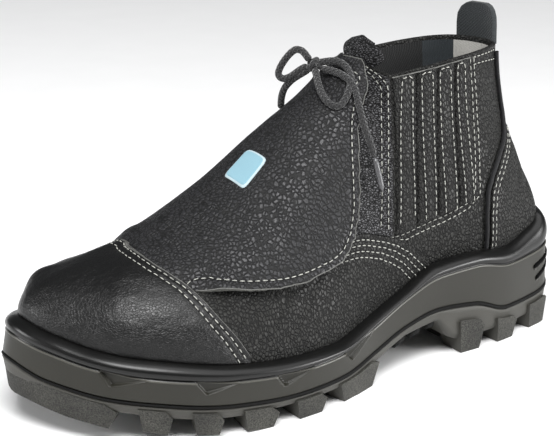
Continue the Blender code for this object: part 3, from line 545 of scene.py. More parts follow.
def braided_cord(name, dark, light, turn_mm, depth_mm):
    """Round polyester braid: crossing diagonal strands, matte with a slight sheen on each strand; the strand tops
    are painted lighter as painted sheen.
    """
    material, tree, shader = start_material(name, 0.78, 0.4, 0.25)
    along = add(tree, "ShaderNodeUVMap")
    split = add(tree, "ShaderNodeSeparateXYZ", links={"Vector": along.outputs["UV"]})
    ridges = []
    for side in (1.0, -1.0):
        slant = calculate(tree, "MULTIPLY", split.outputs["Y"], side)
        total = calculate(tree, "ADD", split.outputs["X"], slant)
        ridges.append(calculate(tree, "SINE", calculate(tree, "MULTIPLY", total, 2 * np.pi / turn_mm)))
    height = calculate(tree, "MAXIMUM", *ridges)
    # The lighter tone on the strand ridges is painted sheen
    dress(tree, shader, ranged(tree, height, -0.6, 1.0), dark, light, bump(tree, height, depth_mm, 0.9))
    return material


def plain_plastic(name, dark, light, roughness, fleck_mm=0.4, depth_mm=0.02):
    """Plastic, thread, cut edges and the floor: one colour with a faint fleck and a fine skin."""
    material, tree, shader = start_material(name, roughness, 0.45)
    grain = noise(tree, place_in_mm(tree), fleck_mm, 3.0)
    dress(tree, shader, grain, dark, light, bump(tree, grain, depth_mm, 0.6))
    return material


# Leathers: dark tone of the valleys and light tone of the tops, painted shade and painted sheen in part, pebble
# and relief in mm, roughness, stretch of the grain along the axes, share of a pebble that is valley, shine, and
# how far the valleys keep the gloss of the tops
# Sides and heel: milled leather with small satin pebbles
LEATHER = pebble_leather("milled_cow_leather", "050505", "2a2a28", 1.6, 0.34, 0.44, (1.0, 1.0, 0.7), 0.24,
                         0.22, 0.5)
# Guard: the same hide with larger, glossier pebbles
GUARD_LEATHER = pebble_leather("guard_cow_leather", "050505", "2c2c2e", 2.0, 0.34, 0.42, (1.0, 1.0, 0.85),
                               0.26, 0.30, 0.5)
# Toe: pulled smooth over the steel cap, with long soft highlights
TOE_LEATHER = pebble_leather("lasted_toe_leather", "070707", "101010", 1.1, 0.07, 0.37, (0.8, 0.8, 1.2), 0.2,
                             0.40, 0.85)
# Facings: deep cracked grain, painted light on the tops as their sheen and black between as painted shade
FACING_LEATHER = pebble_leather("crackled_facing_leather", "020202", "7a7a7c", 1.3, 0.7, 0.42, (0.8, 0.8, 1.4),
                                0.44, 0.16, 0.1)
# Tongue: the same crackle drawn out sideways
TONGUE_LEATHER = pebble_leather("tongue_leather", "040404", "666668", 1.2, 0.5, 0.44, (1.0, 0.55, 1.4), 0.40,
                                0.16, 0.2)

# Sole: dark and light tone, grain and relief in mm, roughness and shine
# Bead: smooth dark skin with a narrow bright line
BEAD_RUBBER = granular_rubber("satin_polyurethane_bead", "0a0a0a", "121211", 0.5, 0.01, 0.30)
# Side wall: grey-brown and evenly matte
WALL_RUBBER = granular_rubber("matte_polyurethane_wall", "1e1d17", "2c2b25", 0.35, 0.03, 0.42)
# Parting edge above the wall: painted lighter as the thin highlight along its edge
LIP_HIGHLIGHT_RUBBER = granular_rubber("parting_edge_painted_highlight", "403f3a", "53524d", 0.6, 0.01, 0.3)
# Lugs: coarse sand-like speckle of light and black grains
TREAD_RUBBER = granular_rubber("sandy_tread_rubber", "030303", "6a6962", 0.7, 0.7, 0.7)
# Tread between the lugs and their cut ends: plain grey and nearly smooth
TREAD_BODY = granular_rubber("tread_body_rubber", "3a3935", "4a4944", 0.4, 0.05, 0.55)
# Channel under the wall and arch bars: rough and dull, its dark tone partly painted shade of the recess and of
# the arch
CHANNEL_RUBBER_AND_SHADE = granular_rubber("channel_rubber_and_painted_shade", "040404", "141413", 0.6, 0.4, 0.75, 0.18)
# Floors of the heel slots: near black, painted shade of the slots
SLOT_SHADE = granular_rubber("painted_slot_shade", "030303", "070707", 0.5, 0.02, 0.8, 0.06)

# Cloths: dark and light tone, thread spacing and relief in mm, roughness and sheen
# Piping: fine black tape, a little glossy where it is pulled round its cord
PIPING = woven_cloth("piping_tape", "070709", "111114", 0.4, 0.04, 0.7, 0.05)
# Pull tab: coarse blue-black webbing
WEBBING = woven_cloth("pull_tab_webbing", "191c1e", "303436", 0.9, 0.22, 0.85)
# Lining: flat blue-grey cloth, and light grey behind the heel
LINING = woven_cloth("blue_grey_lining", "1b2023", "30363a", 0.7, 0.14)
HEEL_LINING = woven_cloth("light_heel_lining", "8a8984", "bfbdb8", 0.8, 0.14)
# Elastic and guard backing: black cloths that swallow the light; the backing's black is also painted shade of the
# gap under the guard
ELASTIC = woven_cloth("black_gore_elastic", "040505", "0e0f10", 0.8, 0.2, 0.8)
GUARD_BACKING_AND_SHADE = woven_cloth("guard_backing_cloth_and_painted_shade", "050505", "0e0e0e", 0.8, 0.1, 0.9)
# Insole: dull grey felt
BOARD = woven_cloth("insole_felt", "3a3a3a", "555553", 0.6, 0.1, 0.95)
# Label: tight plain weave in light blue
LABEL = woven_cloth("woven_label", "6690a0", "8cadb8", 0.35, 0.04, 0.7)
# Lace: black braid, its strand tops painted lighter as a little sheen
LACE = braided_cord("polyester_lace_braid", "060606", "222223", 2.4, 0.35)

# Plastics and small finishes: dark and light tone, roughness, fleck and relief in mm
# Thread: off-white and matte, and the needle holes, dark as painted shade
THREAD = plain_plastic("bonded_polyester_thread", "7a7a74", "bcbcb5", 0.6, 0.8, 0.03)
HOLE = plain_plastic("needle_hole_shadow", "060606", "0c0c0c", 0.9)
# Lace tip: glossy film over dark braid
LACE_TIP_FILM = plain_plastic("clear_lace_tip_film", "2c2c2d", "6a6a6c", 0.15, 0.9)
# Binding of the label: a pale rim
LABEL_EDGE = plain_plastic("label_binding", "94a7ad", "b4c4c9", 0.6)
# Cut and skived edges of the leather: fibrous grey core, and a thin lighter line along the panel edges that is
# partly their undyed core and partly a painted highlight
CUT_EDGE = plain_plastic("raw_leather_edge", "2a2a29", "74746f", 0.85, 0.4, 0.15)
EDGE_AND_HIGHLIGHT = plain_plastic("skived_edge_and_painted_highlight", "383837", "6a6a66", 0.6, 0.6, 0.05)
# Floor: even white of a studio sweep
FLOOR = plain_plastic("studio_floor", "f4f4f4", "f8f8f8", 0.8, 40.0, 0.0)


# Meshes

def settle(name, mesh, material, replaces=()):
    """Puts a mesh into the shared frame as a piece that rides on the shoe."""
    mesh.transform(Matrix.Translation(FRAME_SHIFT))
    thing = bpy.data.objects.new(name, mesh)
    bpy.context.scene.collection.objects.link(thing)
    for look in material if isinstance(material, (list, tuple)) else [material]:
        mesh.materials.append(look)
    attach(thing, "root")
    if replaces:
        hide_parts(*replaces)
    return thing


def grid_mesh(name, points, closed=False, uv=None, flip=False):
    """Quads over a grid of points; closed joins the last column to the first."""
    faces = grid_faces(*points.shape[:2], closed)
    if flip:
        faces = faces[:, ::-1]
    mesh = bpy.data.meshes.new(name)
    mesh.from_pydata(points.reshape(-1, 3).tolist(), [], faces.tolist())
    if uv is not None:
        layer = mesh.uv_layers.new(name="UVMap")
        index = np.empty(len(mesh.loops), int)
        mesh.loops.foreach_get("vertex_index", index)
        layer.data.foreach_set("uv", uv.reshape(-1, 2)[index].astype(np.float32).ravel())
    mesh.polygons.foreach_set("use_smooth", np.ones(len(mesh.polygons), bool))
    return mesh


def arc_uv(points):
    """Distances in millimetres along rows and columns of a grid, as texture positions."""
    across = np.linalg.norm(np.diff(points, axis=1), axis=-1)
    down = np.linalg.norm(np.diff(points, axis=0), axis=-1)
    x = np.concatenate([np.zeros((len(points), 1)), np.cumsum(across, axis=1)], axis=1)
    y = np.concatenate([np.zeros((1, points.shape[1])), np.cumsum(down, axis=0)], axis=0)
    return np.stack([x, y], axis=-1) * 1000.0


def smooth_table(table, value):
    """Table value on a curve through its rows, rounded at each row."""
    keys = np.array([row[0] for row in table], float)
    values = np.array([row[1] for row in table], float)
    slopes = np.gradient(values, keys)
    k = np.clip(np.searchsorted(keys, value) - 1, 0, len(keys) - 2)
    span = keys[k + 1] - keys[k]
    t = np.clip((np.asarray(value, float) - keys[k]) / span, 0.0, 1.0)
    return ((2 * t**3 - 3 * t**2 + 1) * values[k] + (t**3 - 2 * t**2 + t) * span * slopes[k]
            + (3 * t**2 - 2 * t**3) * values[k + 1] + (t**3 - t**2) * span * slopes[k + 1])


def nearest(points, path):
    """Distance from each point to a path of points."""
    flat = points.reshape(-1, 3)
    found = np.empty(len(flat))
    for start in range(0, len(flat), 2000):
        part = flat[start:start + 2000]
        found[start:start + 2000] = np.sqrt(((part[:, None] - path[None]) ** 2).sum(-1).min(1))
    return found.reshape(points.shape[:-1])


def dense_path(path, count=160):
    """Rows and levels of a path, filled in evenly between its points."""
    path = np.array(path, float)
    keys = np.linspace(0.0, 1.0, len(path))
    fine = np.linspace(0.0, 1.0, count)
    return np.stack([np.interp(fine, keys, path[:, 0]), np.interp(fine, keys, path[:, 1])], axis=-1)


def rounded_path(path, count=200, passes=14):
    """The same path with its corners rounded off."""
    fine = dense_path(path, count)
    for _ in range(passes):
        fine[1:-1] = (fine[:-2] + 2 * fine[1:-1] + fine[2:]) / 4
    return fine


def resampled(points, count):
    """The same path with evenly spaced points."""
    return places_on(points, np.linspace(0.0, running_length(points)[-1], count))


def mirrored(path):
    """A path of rows and levels on the other side of the shoe."""
    return np.stack([other_side(path[:, 0]), path[:, 1]], axis=-1)


def inset_path(path, inward):
    """A path moved to its left by a distance in metres, measured on the shoe."""
    u, v = path[:, 0], path[:, 1]
    u_step = (upper_point(u + 0.02, v) - upper_point(u - 0.02, v)) / 0.04
    low, high = np.clip(v - 0.005, 0, 1), np.clip(v + 0.005, 0, 1)
    v_step = (upper_point(u, high) - upper_point(u, low)) / (high - low)[:, None]
    u_size, v_size = np.linalg.norm(u_step, axis=-1), np.linalg.norm(v_step, axis=-1)
    along = unit(np.gradient(path, axis=0) * np.stack([u_size, v_size], axis=-1))
    return np.stack([u - along[:, 1] * inward / u_size, v + along[:, 0] * inward / v_size], axis=-1)


def on_form(path, out=0.0):
    """Points above the leather along a path of rows and levels."""
    return skin_above(path[:, 0], path[:, 1], out)


# Seams as paths of row and level on the outer side
SEAM_OVER_TOE = ((10.0, 0.0), (10.3, 0.15), (10.58, 0.26), (10.87, 0.395), (11.17, 0.505), (11.78, 0.62),
                 (12.52, 0.715), (13.31, 0.775), (14.4, 0.828), (15.77, 0.865), (17.2, 0.862), (18.4, 0.832),
                 (19.2, 0.795), (19.9, 0.735), (20.35, 0.64), (20.83, 0.505), (21.13, 0.395), (21.42, 0.26),
                 (21.7, 0.15), (22.0, 0.0))
cap_seam = rounded_path(SEAM_OVER_TOE, 400, 16)
cap_seam_rear = inset_path(cap_seam, 0.0034)
cap_edge = inset_path(cap_seam, 0.0056)
WING = ((5.1, 0.0), (5.35, 0.065), (5.7, 0.16), (6.05, 0.222), (6.4, 0.258), (6.95, 0.29), (7.5, 0.325),
        (8.1, 0.37))
wing_edge = rounded_path(WING)
WING_ROWS = (0.0026, 0.0051, 0.0077, 0.0103)
wing_rows = [inset_path(wing_edge, -distance) for distance in WING_ROWS]
COUNTER_SEAM = ((3.48, 0.0), (3.49, 0.185), (3.4, 0.31), (3.16, 0.395), (2.75, 0.49), (2.09, 0.62), (1.68, 0.72),
                (1.55, 0.82), (1.62, 0.92), (1.7, 1.0))
counter_edge = rounded_path(COUNTER_SEAM, passes=10)
counter_rows = [inset_path(counter_edge, distance) for distance in (0.0034, 0.0060)]
GORE_FRONT_SHIFT, GORE_REAR_SHIFT = 0.13, 0.07
GORE_STRIPS = (0.0, 0.28, 0.53, 0.79, 1.0)
# Thread on the gore strips: left and right row at the top, the middle and the foot, and the levels there
STRIP_THREAD = (((5.64, 5.92, 6.03), (5.38, 5.52, 5.58)), ((5.17, 5.25, 5.27), (4.86, 4.95, 4.99)),
                ((4.64, 4.72, 4.71), (4.27, 4.36, 4.41)), ((4.02, 4.12, 4.15), (3.74, 3.85, 3.91)))
STRIP_LEVELS = (0.955, 0.59)
STRIP_FEET = (0.285, 0.235, 0.235, 0.265)

# Creases: two ends as row and level, depth and half width in millimetres
CREASES = (
    ((15.2, 0.12), (14.3, 0.20), 0.22, 0.9), ((14.7, 0.10), (13.8, 0.19), 0.25, 0.8),
    ((14.1, 0.13), (13.1, 0.22), 0.25, 0.9), ((13.5, 0.10), (12.5, 0.20), 0.28, 0.9),
    ((12.9, 0.15), (11.8, 0.25), 0.25, 0.8), ((12.3, 0.10), (11.3, 0.21), 0.28, 0.9),
    ((11.7, 0.17), (10.9, 0.28), 0.22, 0.8), ((11.3, 0.07), (10.6, 0.15), 0.3, 0.9),
    ((9.6, 0.10), (8.9, 0.30), 0.5, 1.8), ((9.1, 0.08), (8.3, 0.28), 0.6, 2.0),
    ((8.5, 0.06), (7.7, 0.24), 0.5, 1.8), ((7.8, 0.05), (7.1, 0.2), 0.45, 1.7),
    ((7.1, 0.03), (6.5, 0.15), 0.4, 1.5), ((5.4, 0.10), (4.8, 0.2), 0.35, 1.5),
    ((4.6, 0.06), (4.0, 0.18), 0.35, 1.6), ((2.6, 0.2), (1.9, 0.42), 0.3, 2.4),
    ((1.6, 0.3), (0.9, 0.5), 0.3, 2.6), ((5.0, 0.03), (4.2, 0.12), 0.3, 1.5),
)


def crease_relief(points):
    """Soft troughs with a low ridge beside them where the leather folds as it is worn and lasted."""
    total = np.zeros(points.shape[:-1])
    for first, last, depth, width in CREASES:
        for side in (1, -1):
            path = dense_path([first, last], 24)
            line = on_form(path if side == 1 else mirrored(path), 0.002)
            away = nearest(points, line) / (width * MM)
            total += depth * MM * (-np.exp(-away**2) + 0.35 * np.exp(-(away - 2.0) ** 2))
    return total


def seam_relief(points, paths, out, depth=0.00030, width=0.0011):
    """Shallow channels that the thread pulls into the leather."""
    total = np.zeros(points.shape[:-1])
    for path in paths:
        away = nearest(points, on_form(path, out)) / width
        total = np.minimum(total, -depth * np.exp(-away**2))
    return total


def rim_line(count, rim=0.012):
    """Shares from edge to edge with close rows at both rims, and how much of the full height each has."""
    ends = np.array([0.0, 0.0, 0.3 * rim, rim])
    heights = np.array([-0.5, 0.62, 0.94, 1.0])
    share = np.concatenate([ends, np.linspace(2 * rim, 1 - 2 * rim, count), 1 - ends[::-1]])
    return share, np.concatenate([heights, np.ones(count), heights[::-1]])


def across_rows(left, right, v_line, count, rim=0.012):
    """Grid of rows and levels between two edges that are given for each level."""
    share, rim_height = rim_line(count, rim)
    u = left[:, None] + (right - left)[:, None] * share[None, :]
    return u, np.broadcast_to(v_line[:, None], u.shape), rim_height


def skin(name, u, v, height, material, replaced, seams, inner=False):
    """Leather panel over the upper: height is its face above it, seams the paths sewn through it."""
    turned = other_side(u) if inner else u
    paths = [mirrored(path) if inner else path for path in seams]
    points = skin_above(turned, v, height)
    relief = crease_relief(points) + seam_relief(points, paths, float(np.max(height)))
    points = skin_above(turned, v, height + relief)
    settle(name, grid_mesh(name, points, uv=arc_uv(points), flip=inner), material, [replaced])


def skin_on_both_sides(name, u, v, height, material, replaced, seams):
    for side in ("outer", "inner"):
        skin(name + side, u, v, height, material, replaced + side, seams, side == "inner")


UPPER_COLUMNS = 320
COLLAR_LEVEL = 0.995
# The light heel lining ends at the first row from the heel, and the elastic shows between the other two
HEEL_LINING_ROW, ELASTIC_ROWS = 1.92, (3.17, 6.0)


def build_upper_skin():
    """Leather of the quarters under all the overlays, with a rolled collar edge."""
    u = np.arange(UPPER_COLUMNS) * ROW_COUNT / UPPER_COLUMNS
    v = np.concatenate([np.linspace(0.0, 0.9, 56), np.linspace(0.912, COLLAR_LEVEL, 8)])
    uu, vv = np.meshgrid(u, v)
    body = skin_above(uu, vv, 0.0)
    seams = [gore_border(0.0), gore_border(1.0)] + collar_rows()
    relief = crease_relief(body) + seam_relief(body, seams + [mirrored(path) for path in seams], 0.0)
    body = skin_above(uu, vv, relief)
    rings = [body[0] - np.array([0.0, 0.0, 0.004]), *body]
    for angle in np.linspace(0.15, 1.0, 6) * np.pi:
        ring = skin_above(u, np.full(UPPER_COLUMNS, COLLAR_LEVEL), -WALL / 2 * (1 - np.cos(angle)))
        ring[:, 2] += WALL / 2 * np.sin(angle)
        rings.append(ring)
    for level in (0.97, 0.94):
        rings.append(skin_above(u, np.full(UPPER_COLUMNS, level), -WALL))
    settle("upper_leather", grid_mesh("upper_leather", np.array(rings), closed=True), LEATHER,
           ["upper"])
    build_lining(u)


def build_lining(u):
    """Cloth inside the upper: light behind the heel, elastic inside the gores, blue-grey elsewhere."""
    rings = [skin_above(u, np.full(UPPER_COLUMNS, level), -WALL - 0.0001)
             for level in np.linspace(0.985, 0.0, 40)]
    floor = rings[-1].copy()
    floor[:, 2] = station_height(FLOOR_ROWS, floor[:, 0]) + 0.002
    points = np.array(rings + [floor])
    piece = settle("lining", grid_mesh("lining", points, closed=True, uv=arc_uv(points)),
                   [LINING, HEEL_LINING, ELASTIC])
    first, last = ELASTIC_ROWS
    for polygon in piece.data.polygons:
        column = polygon.vertices[0] % UPPER_COLUMNS * ROW_COUNT / UPPER_COLUMNS
        near = min(column, ROW_COUNT - column)
        polygon.material_index = 1 if near < HEEL_LINING_ROW else 2 if first < near < last else 0


def gore_border(place):
    """Seam around the foot and rear of the gore: 0 is the row beside it, 1 the row outside."""
    low, side = 0.030 * place, 0.145 * place
    foot = [(6.28 - 0.3 * place, 0.245 - low), (5.75, 0.222 - low), (5.2, 0.208 - low), (4.75, 0.217 - low),
            (4.3, 0.24 - low), (4.0, 0.262 - low)]
    rear = [(3.78 - side, 0.31 - low / 2), (3.72 - side, 0.40), (3.66 - side, 0.47), (3.54 - side, 0.62),
            (3.40 - side, 0.83), (3.41 - side, 0.985)]
    return rounded_path(foot + rear, 300, 10)


def collar_rows():
    """Two rows of stitching under the collar edge from the gore to the heel seam."""
    return [dense_path([(3.32, level), (2.6, level), (1.75, level)], 60) for level in (0.982, 0.948)]


# Faces of the overlays above the upper
PANEL_FACE = PANEL_GAP + PANEL
TOE_CAP_FACE = PANEL_GAP + TOE_CAP_THICKNESS + 0.0004
FACING_FACE = PANEL_GAP + FACING_THICKNESS
STRIP_FACE = PANEL_GAP + STRIP_THICKNESS


def build_toe_cap():
    """Smooth leather over the steel toe, with a skived rear edge whose faces take the painted edge highlight."""
    share, rim_height = rim_line(36, 0.02)
    share, rim_height = share[2:], rim_height[2:]
    edge = resampled(cap_edge, 190)
    v = share[:, None] * edge[None, :, 1]
    u = np.broadcast_to(edge[None, :, 0], v.shape)
    rim = rim_height[:, None] * np.ones(len(edge))[None, :]
    points = skin_above(u, v, TOE_CAP_FACE * rim)
    relief = crease_relief(points) + seam_relief(points, [cap_seam, cap_seam_rear], TOE_CAP_FACE)
    points = skin_above(u, v, TOE_CAP_FACE * rim + relief)
    piece = settle("toe_cap_leather", grid_mesh("toe_cap_leather", points, uv=arc_uv(points)),
                   [TOE_LEATHER, EDGE_AND_HIGHLIGHT], ["toe_cap"])
    # The faces at the rear edge take the painted edge highlight
    mark_rim(piece, len(edge) - 1, lambda row, column: row >= len(share) - 4)


def mark_rim(piece, columns, on_rim):
    """Gives the piece's second look to the faces for which on_rim says so: the painted edge highlight on the toe
    cap, the painted slot shade on the side wall.
    """
    for index, polygon in enumerate(piece.data.polygons):
        if on_rim(*divmod(index, columns)):
            polygon.material_index = 1


def edge_highlight_line(name, path, radius=0.00022):
    """Thin light line where the skived edge of a dyed panel shows its undyed core, painted lighter as the
    highlight along that edge.
    """
    settle(name, tube_mesh(name, path, radius, 6), EDGE_AND_HIGHLIGHT)


def build_cut_edges():
    """Light edge lines, partly painted highlight, behind the toe cap and along the top of the gore strips."""
    edge_highlight_line("toe_cap_edge_highlight", on_form(resampled(cap_edge, 160), TOE_CAP_FACE - 0.0003))
    collar = dense_path([(5.95, 0.99), (3.5, 0.99)], 60)
    for side, path in (("outer", collar), ("inner", mirrored(collar))):
        edge_highlight_line("collar_edge_highlight_" + side, on_form(path, PANEL_GAP + 0.0008), 0.00035)


def build_vamp():
    """Side panels between the toe seam and the curved wing seam."""
    v_line = np.concatenate([[0.0], np.linspace(0.004, 0.5, 56)])
    order = np.argsort(wing_edge[:, 1])
    rear = np.interp(v_line, wing_edge[order, 1], wing_edge[order, 0])
    rear = np.where(v_line > 0.36, 8.0, rear)
    rise = cap_edge[cap_edge[:, 0] < 12.0]
    front = np.interp(v_line, rise[:, 1], rise[:, 0]) + 0.1
    u, v, rim = across_rows(rear, front, v_line, 90, 0.006)
    height = PANEL_FACE * np.broadcast_to(rim[None, :], u.shape)
    skin_on_both_sides("vamp_leather_", u, v, height, LEATHER, "vamp_", wing_rows)


FACING_THREAD = (
    ((6.38, 0.28), (6.37, 0.40), (6.32, 0.565), (6.21, 0.755), (6.08, 0.95), (6.35, 0.985), (7.2, 0.995)),
    ((6.60, 0.30), (6.55, 0.40), (6.51, 0.55), (6.42, 0.73), (6.29, 0.91), (6.5, 0.95), (7.2, 0.96)),
)


def facing_rows():
    """Two rows up the facing's rear edge that turn forward under its top edge."""
    return [rounded_path(row, 260, 60) for row in FACING_THREAD]


def build_facings():
    """Crackled strips up the ankle's front, from the wing seam to the collar."""
    share, rim_height = rim_line(40, 0.02)
    level, level_rim = rim_line(60, 0.01)
    foot_u = FACING_FOOT_REAR + (8.0 - FACING_FOOT_REAR) * share
    foot_v = smooth_table(WING, foot_u)
    v = foot_v[None, :] + (0.99 - foot_v)[None, :] * level[:, None]
    rear = along_table(FACING_REAR, v)
    u = rear + (8.0 - rear) * share[None, :]
    height = FACING_FACE * np.minimum(rim_height[None, :], level_rim[:, None])
    skin_on_both_sides("facing_leather_", u, v, height, FACING_LEATHER, "facing_",
                       facing_rows())


GORE_FOOT_FRONT, GORE_FOOT_REAR = 6.12, 3.82


def gore_uv(share, level):
    """Rows and levels on the gore, from its front (0) to its rear (1) and from its foot to the collar."""
    foot_u = GORE_FOOT_FRONT + (GORE_FOOT_REAR - GORE_FOOT_FRONT) * share
    foot_v = along_table(GORE_FOOT, foot_u)
    v = foot_v + (0.992 - foot_v) * level
    front = along_table(FACING_REAR, v) - GORE_FRONT_SHIFT
    rear = along_table(GORE_REAR, v) + GORE_REAR_SHIFT
    return front + (rear - front) * share, v


def gore_stitch_rows():
    """One row of thread around each strip: up its front edge, over its top and down its rear edge."""
    rows = []
    for (left, right), foot in zip(STRIP_THREAD, STRIP_FEET):
        levels = (*STRIP_LEVELS, foot)
        line = np.linspace(foot, STRIP_LEVELS[0], 40)
        up, down = [[(smooth_table(list(zip(levels, edge))[::-1], v), v) for v in line]
                    for edge in (left, right)]
        down = down[::-1]
        over = [(left[0] + share * (right[0] - left[0]), 0.977) for share in (0.15, 0.38, 0.62, 0.85)]
        rows.append(rounded_path(up + over + down, 420, 5))
    return rows


def build_gores():
    """Four puffed leather strips over elastic, with a narrow dark groove beside each."""
    share, height_share = [], []
    for start, end in zip(GORE_STRIPS, GORE_STRIPS[1:]):
        inside = np.linspace(0.0, 1.0, 17)
        share.append(start + (end - start) * inside)
        height_share.append(-0.6 + 1.6 * np.clip(np.sin(np.pi * inside), 0, 1) ** 0.3)
    share, height_share = np.concatenate(share), np.concatenate(height_share)
    level, level_rim = rim_line(46, 0.01)
    u, v = gore_uv(share[None, :], level[:, None])
    height = STRIP_FACE * np.clip(np.minimum(height_share[None, :], level_rim[:, None]), -0.4, 1)
    skin_on_both_sides("gore_strips_", u, v, height, LEATHER, "gore_", gore_stitch_rows())


def build_counter():
    """Heel leather between the two piped seams, thinner where it runs up to the collar."""
    level, level_rim = rim_line(50, 0.01)
    v_line = 0.97 * level
    edge = np.interp(v_line, counter_edge[:, 1], counter_edge[:, 0]) - 0.12
    u, v, rim = across_rows(-edge, edge, v_line, 90, 0.006)
    height = PANEL_FACE * np.minimum(rim[None, :], np.where(level < 0.5, 1.0, level_rim)[:, None])
    height = height * np.interp(v_line, [0.55, 0.8], [1.0, 0.35])[:, None]
    paths = counter_rows + [mirrored(path) for path in counter_rows]
    skin("counter_leather", u, v, height, LEATHER, "counter", paths)


# Free edge of the guard from the toe seam to the ridge; its rear corner is at the point GUARD_CORNER
GUARD_EDGE = ((10.62, 0.505), (10.5, 0.492), (10.25, 0.482), (9.75, 0.447), (9.4, 0.385), (9.0, 0.338),
              (8.53, 0.302), (8.08, 0.286), (7.76, 0.302), (7.56, 0.34), (7.42, 0.41), (7.38, 0.5), (7.33, 0.62),
              (7.25, 0.705), (7.08, 0.765), (6.9, 0.83), (6.95, 0.90), (7.12, 0.955), (7.25, 1.0))
GUARD_CORNER = 9
GUARD_ROWS, GUARD_COLUMNS = 70, 110
# Close columns and rows at the rim, in steps of the even grid
GUARD_RIM_STEPS = np.array([0.0, 0.25, 0.6])
EDGE_THICKNESS, EDGE_ROUNDING = 0.0030, 0.0012
THREAD_SINK, THREAD_SINK_WIDTH = 0.00045, 0.0013


def guard_edge_path():
    """Free edge on the outer side with its corners rounded."""
    return rounded_path(GUARD_EDGE, 400, 10)


def patch_between(front, rear, near, far):
    """Surface spanned by four edge curves: near and far run from front to rear."""
    t = np.linspace(0.0, 1.0, len(front))[None, :, None]
    s = np.linspace(0.0, 1.0, len(near))[:, None, None]
    ruled = (1 - s) * front[None] + s * rear[None] + (1 - t) * near[:, None] + t * far[:, None]
    corners = ((1 - s) * (1 - t) * front[0] + (1 - s) * t * front[-1] + s * (1 - t) * rear[0]
               + s * t * rear[-1])
    return ruled - corners


def guard_height(points, edge, seam):
    """Over each point: distance to the free edge, underside's height, thickness and rise from the seam."""
    free, sewn = nearest(points, edge), nearest(points, seam)
    start = np.clip(sewn / 0.011, 0.0, 1.0) ** 0.7
    stand_off = GUARD_LIFT + GUARD_EDGE_LIFT * np.exp(-free / 0.010) * np.clip(sewn / 0.016, 0, 1)
    thick = EDGE_THICKNESS + 0.0006 * np.clip(free / 0.02, 0.0, 1.0)
    return free, 0.0004 + (stand_off - 0.0004) * start, thick, start


def regridded(points, rows_at, columns_at):
    """A grid read between its rows and columns."""
    rows, columns = np.arange(len(points)), np.arange(points.shape[1])
    wide = np.stack([[np.interp(columns_at, columns, row[:, k]) for row in points] for k in range(3)], -1)
    tall = [[np.interp(rows_at, rows, wide[:, c, k]) for c in range(len(columns_at))] for k in range(3)]
    return np.stack(tall, -1).transpose(1, 0, 2)


def build_guard():
    """Padded flap with a rounded raw edge, tucked under the toe cap. Gives back a function for places on it."""
    edge_path = guard_edge_path()
    split = int(len(edge_path) * GUARD_CORNER / (len(GUARD_EDGE) - 1))
    tucked = inset_path(cap_seam, 0.0040)
    tucked = tucked[tucked[:, 1] > 0.51]
    front = on_form(np.concatenate([edge_path[:1], tucked, mirrored(edge_path[:1])]))
    rear = on_form(np.concatenate([edge_path[split:], mirrored(edge_path[split:])[::-1]]))
    near, far = (on_form(path) for path in (edge_path[:split + 1], mirrored(edge_path[:split + 1])))
    patch = patch_between(resampled(front, GUARD_COLUMNS), resampled(rear, GUARD_COLUMNS),
                          resampled(near, GUARD_ROWS), resampled(far, GUARD_ROWS))
    last = GUARD_COLUMNS - 1.0
    rows_at = np.concatenate([np.arange(GUARD_ROWS - 1.0), GUARD_ROWS - 1.0 - GUARD_RIM_STEPS[::-1]])
    columns_at = np.concatenate([GUARD_RIM_STEPS, np.arange(1.0, last), last - GUARD_RIM_STEPS[::-1]])
    found = rows_under(regridded(patch, rows_at, columns_at))
    u, v = found[..., 0], found[..., 1]
    edge = np.concatenate([on_form(edge_path), on_form(mirrored(edge_path))])
    free, low, thick, start = guard_height(skin_above(u, v, 0.0), edge, front)
    rounded = np.sqrt(np.clip(1 - (1 - np.clip(free / EDGE_ROUNDING, 0, 1)) ** 2, 0, 1))
    top = skin_above(u, v, low + thick * (0.72 + 0.28 * rounded) * (0.25 + 0.75 * start))
    for _ in range(8):
        around = top[:-2, 1:-1] + top[2:, 1:-1] + top[1:-1, :-2] + top[1:-1, 2:]
        top[1:-1, 1:-1] = (around + 4 * top[1:-1, 1:-1]) / 8
    on_guard = partial(guard_points, surface_tree(top))
    away = nearest(top, on_guard(guard_stitch_row(), 0.0)) / THREAD_SINK_WIDTH
    top = top - grid_normals(top) * (THREAD_SINK * np.exp(-away**2))[..., None]
    bottom = skin_above(u, v, low)
    face = settle("guard_leather", grid_mesh("guard_leather", top, uv=arc_uv(top), flip=True), GUARD_LEATHER,
                  ["metatarsal_guard"])
    right = top.shape[1] - 1
    rim = [(i, 0) for i in range(len(top))] + [(len(top) - 1, j) for j in range(1, right + 1)]
    rim += [(i, right) for i in range(len(top) - 2, -1, -1)]
    cut = np.array([[(1 - share) * top[spot] + share * bottom[spot] for spot in rim]
                    for share in (0.0, 0.35, 0.7, 1.0)])
    settle("guard_cut_edge", grid_mesh("guard_cut_edge", cut, uv=arc_uv(cut)), CUT_EDGE)
    # The underside's black paints the shade in the gap under the guard
    settle("guard_underside", grid_mesh("guard_underside", bottom[::2, ::2]), GUARD_BACKING_AND_SHADE)
    # Thin light line painted along the guard's raw edge as its highlight
    edge_highlight_line("guard_edge_highlight", cut[0][::2], 0.0003)
    return on_guard


def grid_normals(points):
    normal = unit(np.cross(np.gradient(points, axis=0), np.gradient(points, axis=1)))
    return normal * np.sign((normal[..., 2].sum()))


def guard_points(tree, path, out):
    """Places on the guard's face above a path of rows and levels, raised by out."""
    result = []
    for low_end, high_end in zip(on_form(path, -0.004), on_form(path, 0.010)):
        down = Vector(low_end - high_end).normalized()
        place, _, _, _ = tree.ray_cast(Vector(high_end), down)
        if place is None:
            place, _, _, _ = tree.find_nearest(Vector((low_end + high_end) / 2))
        result.append(np.array(place) - np.array(down) * out)
    return np.array(result)


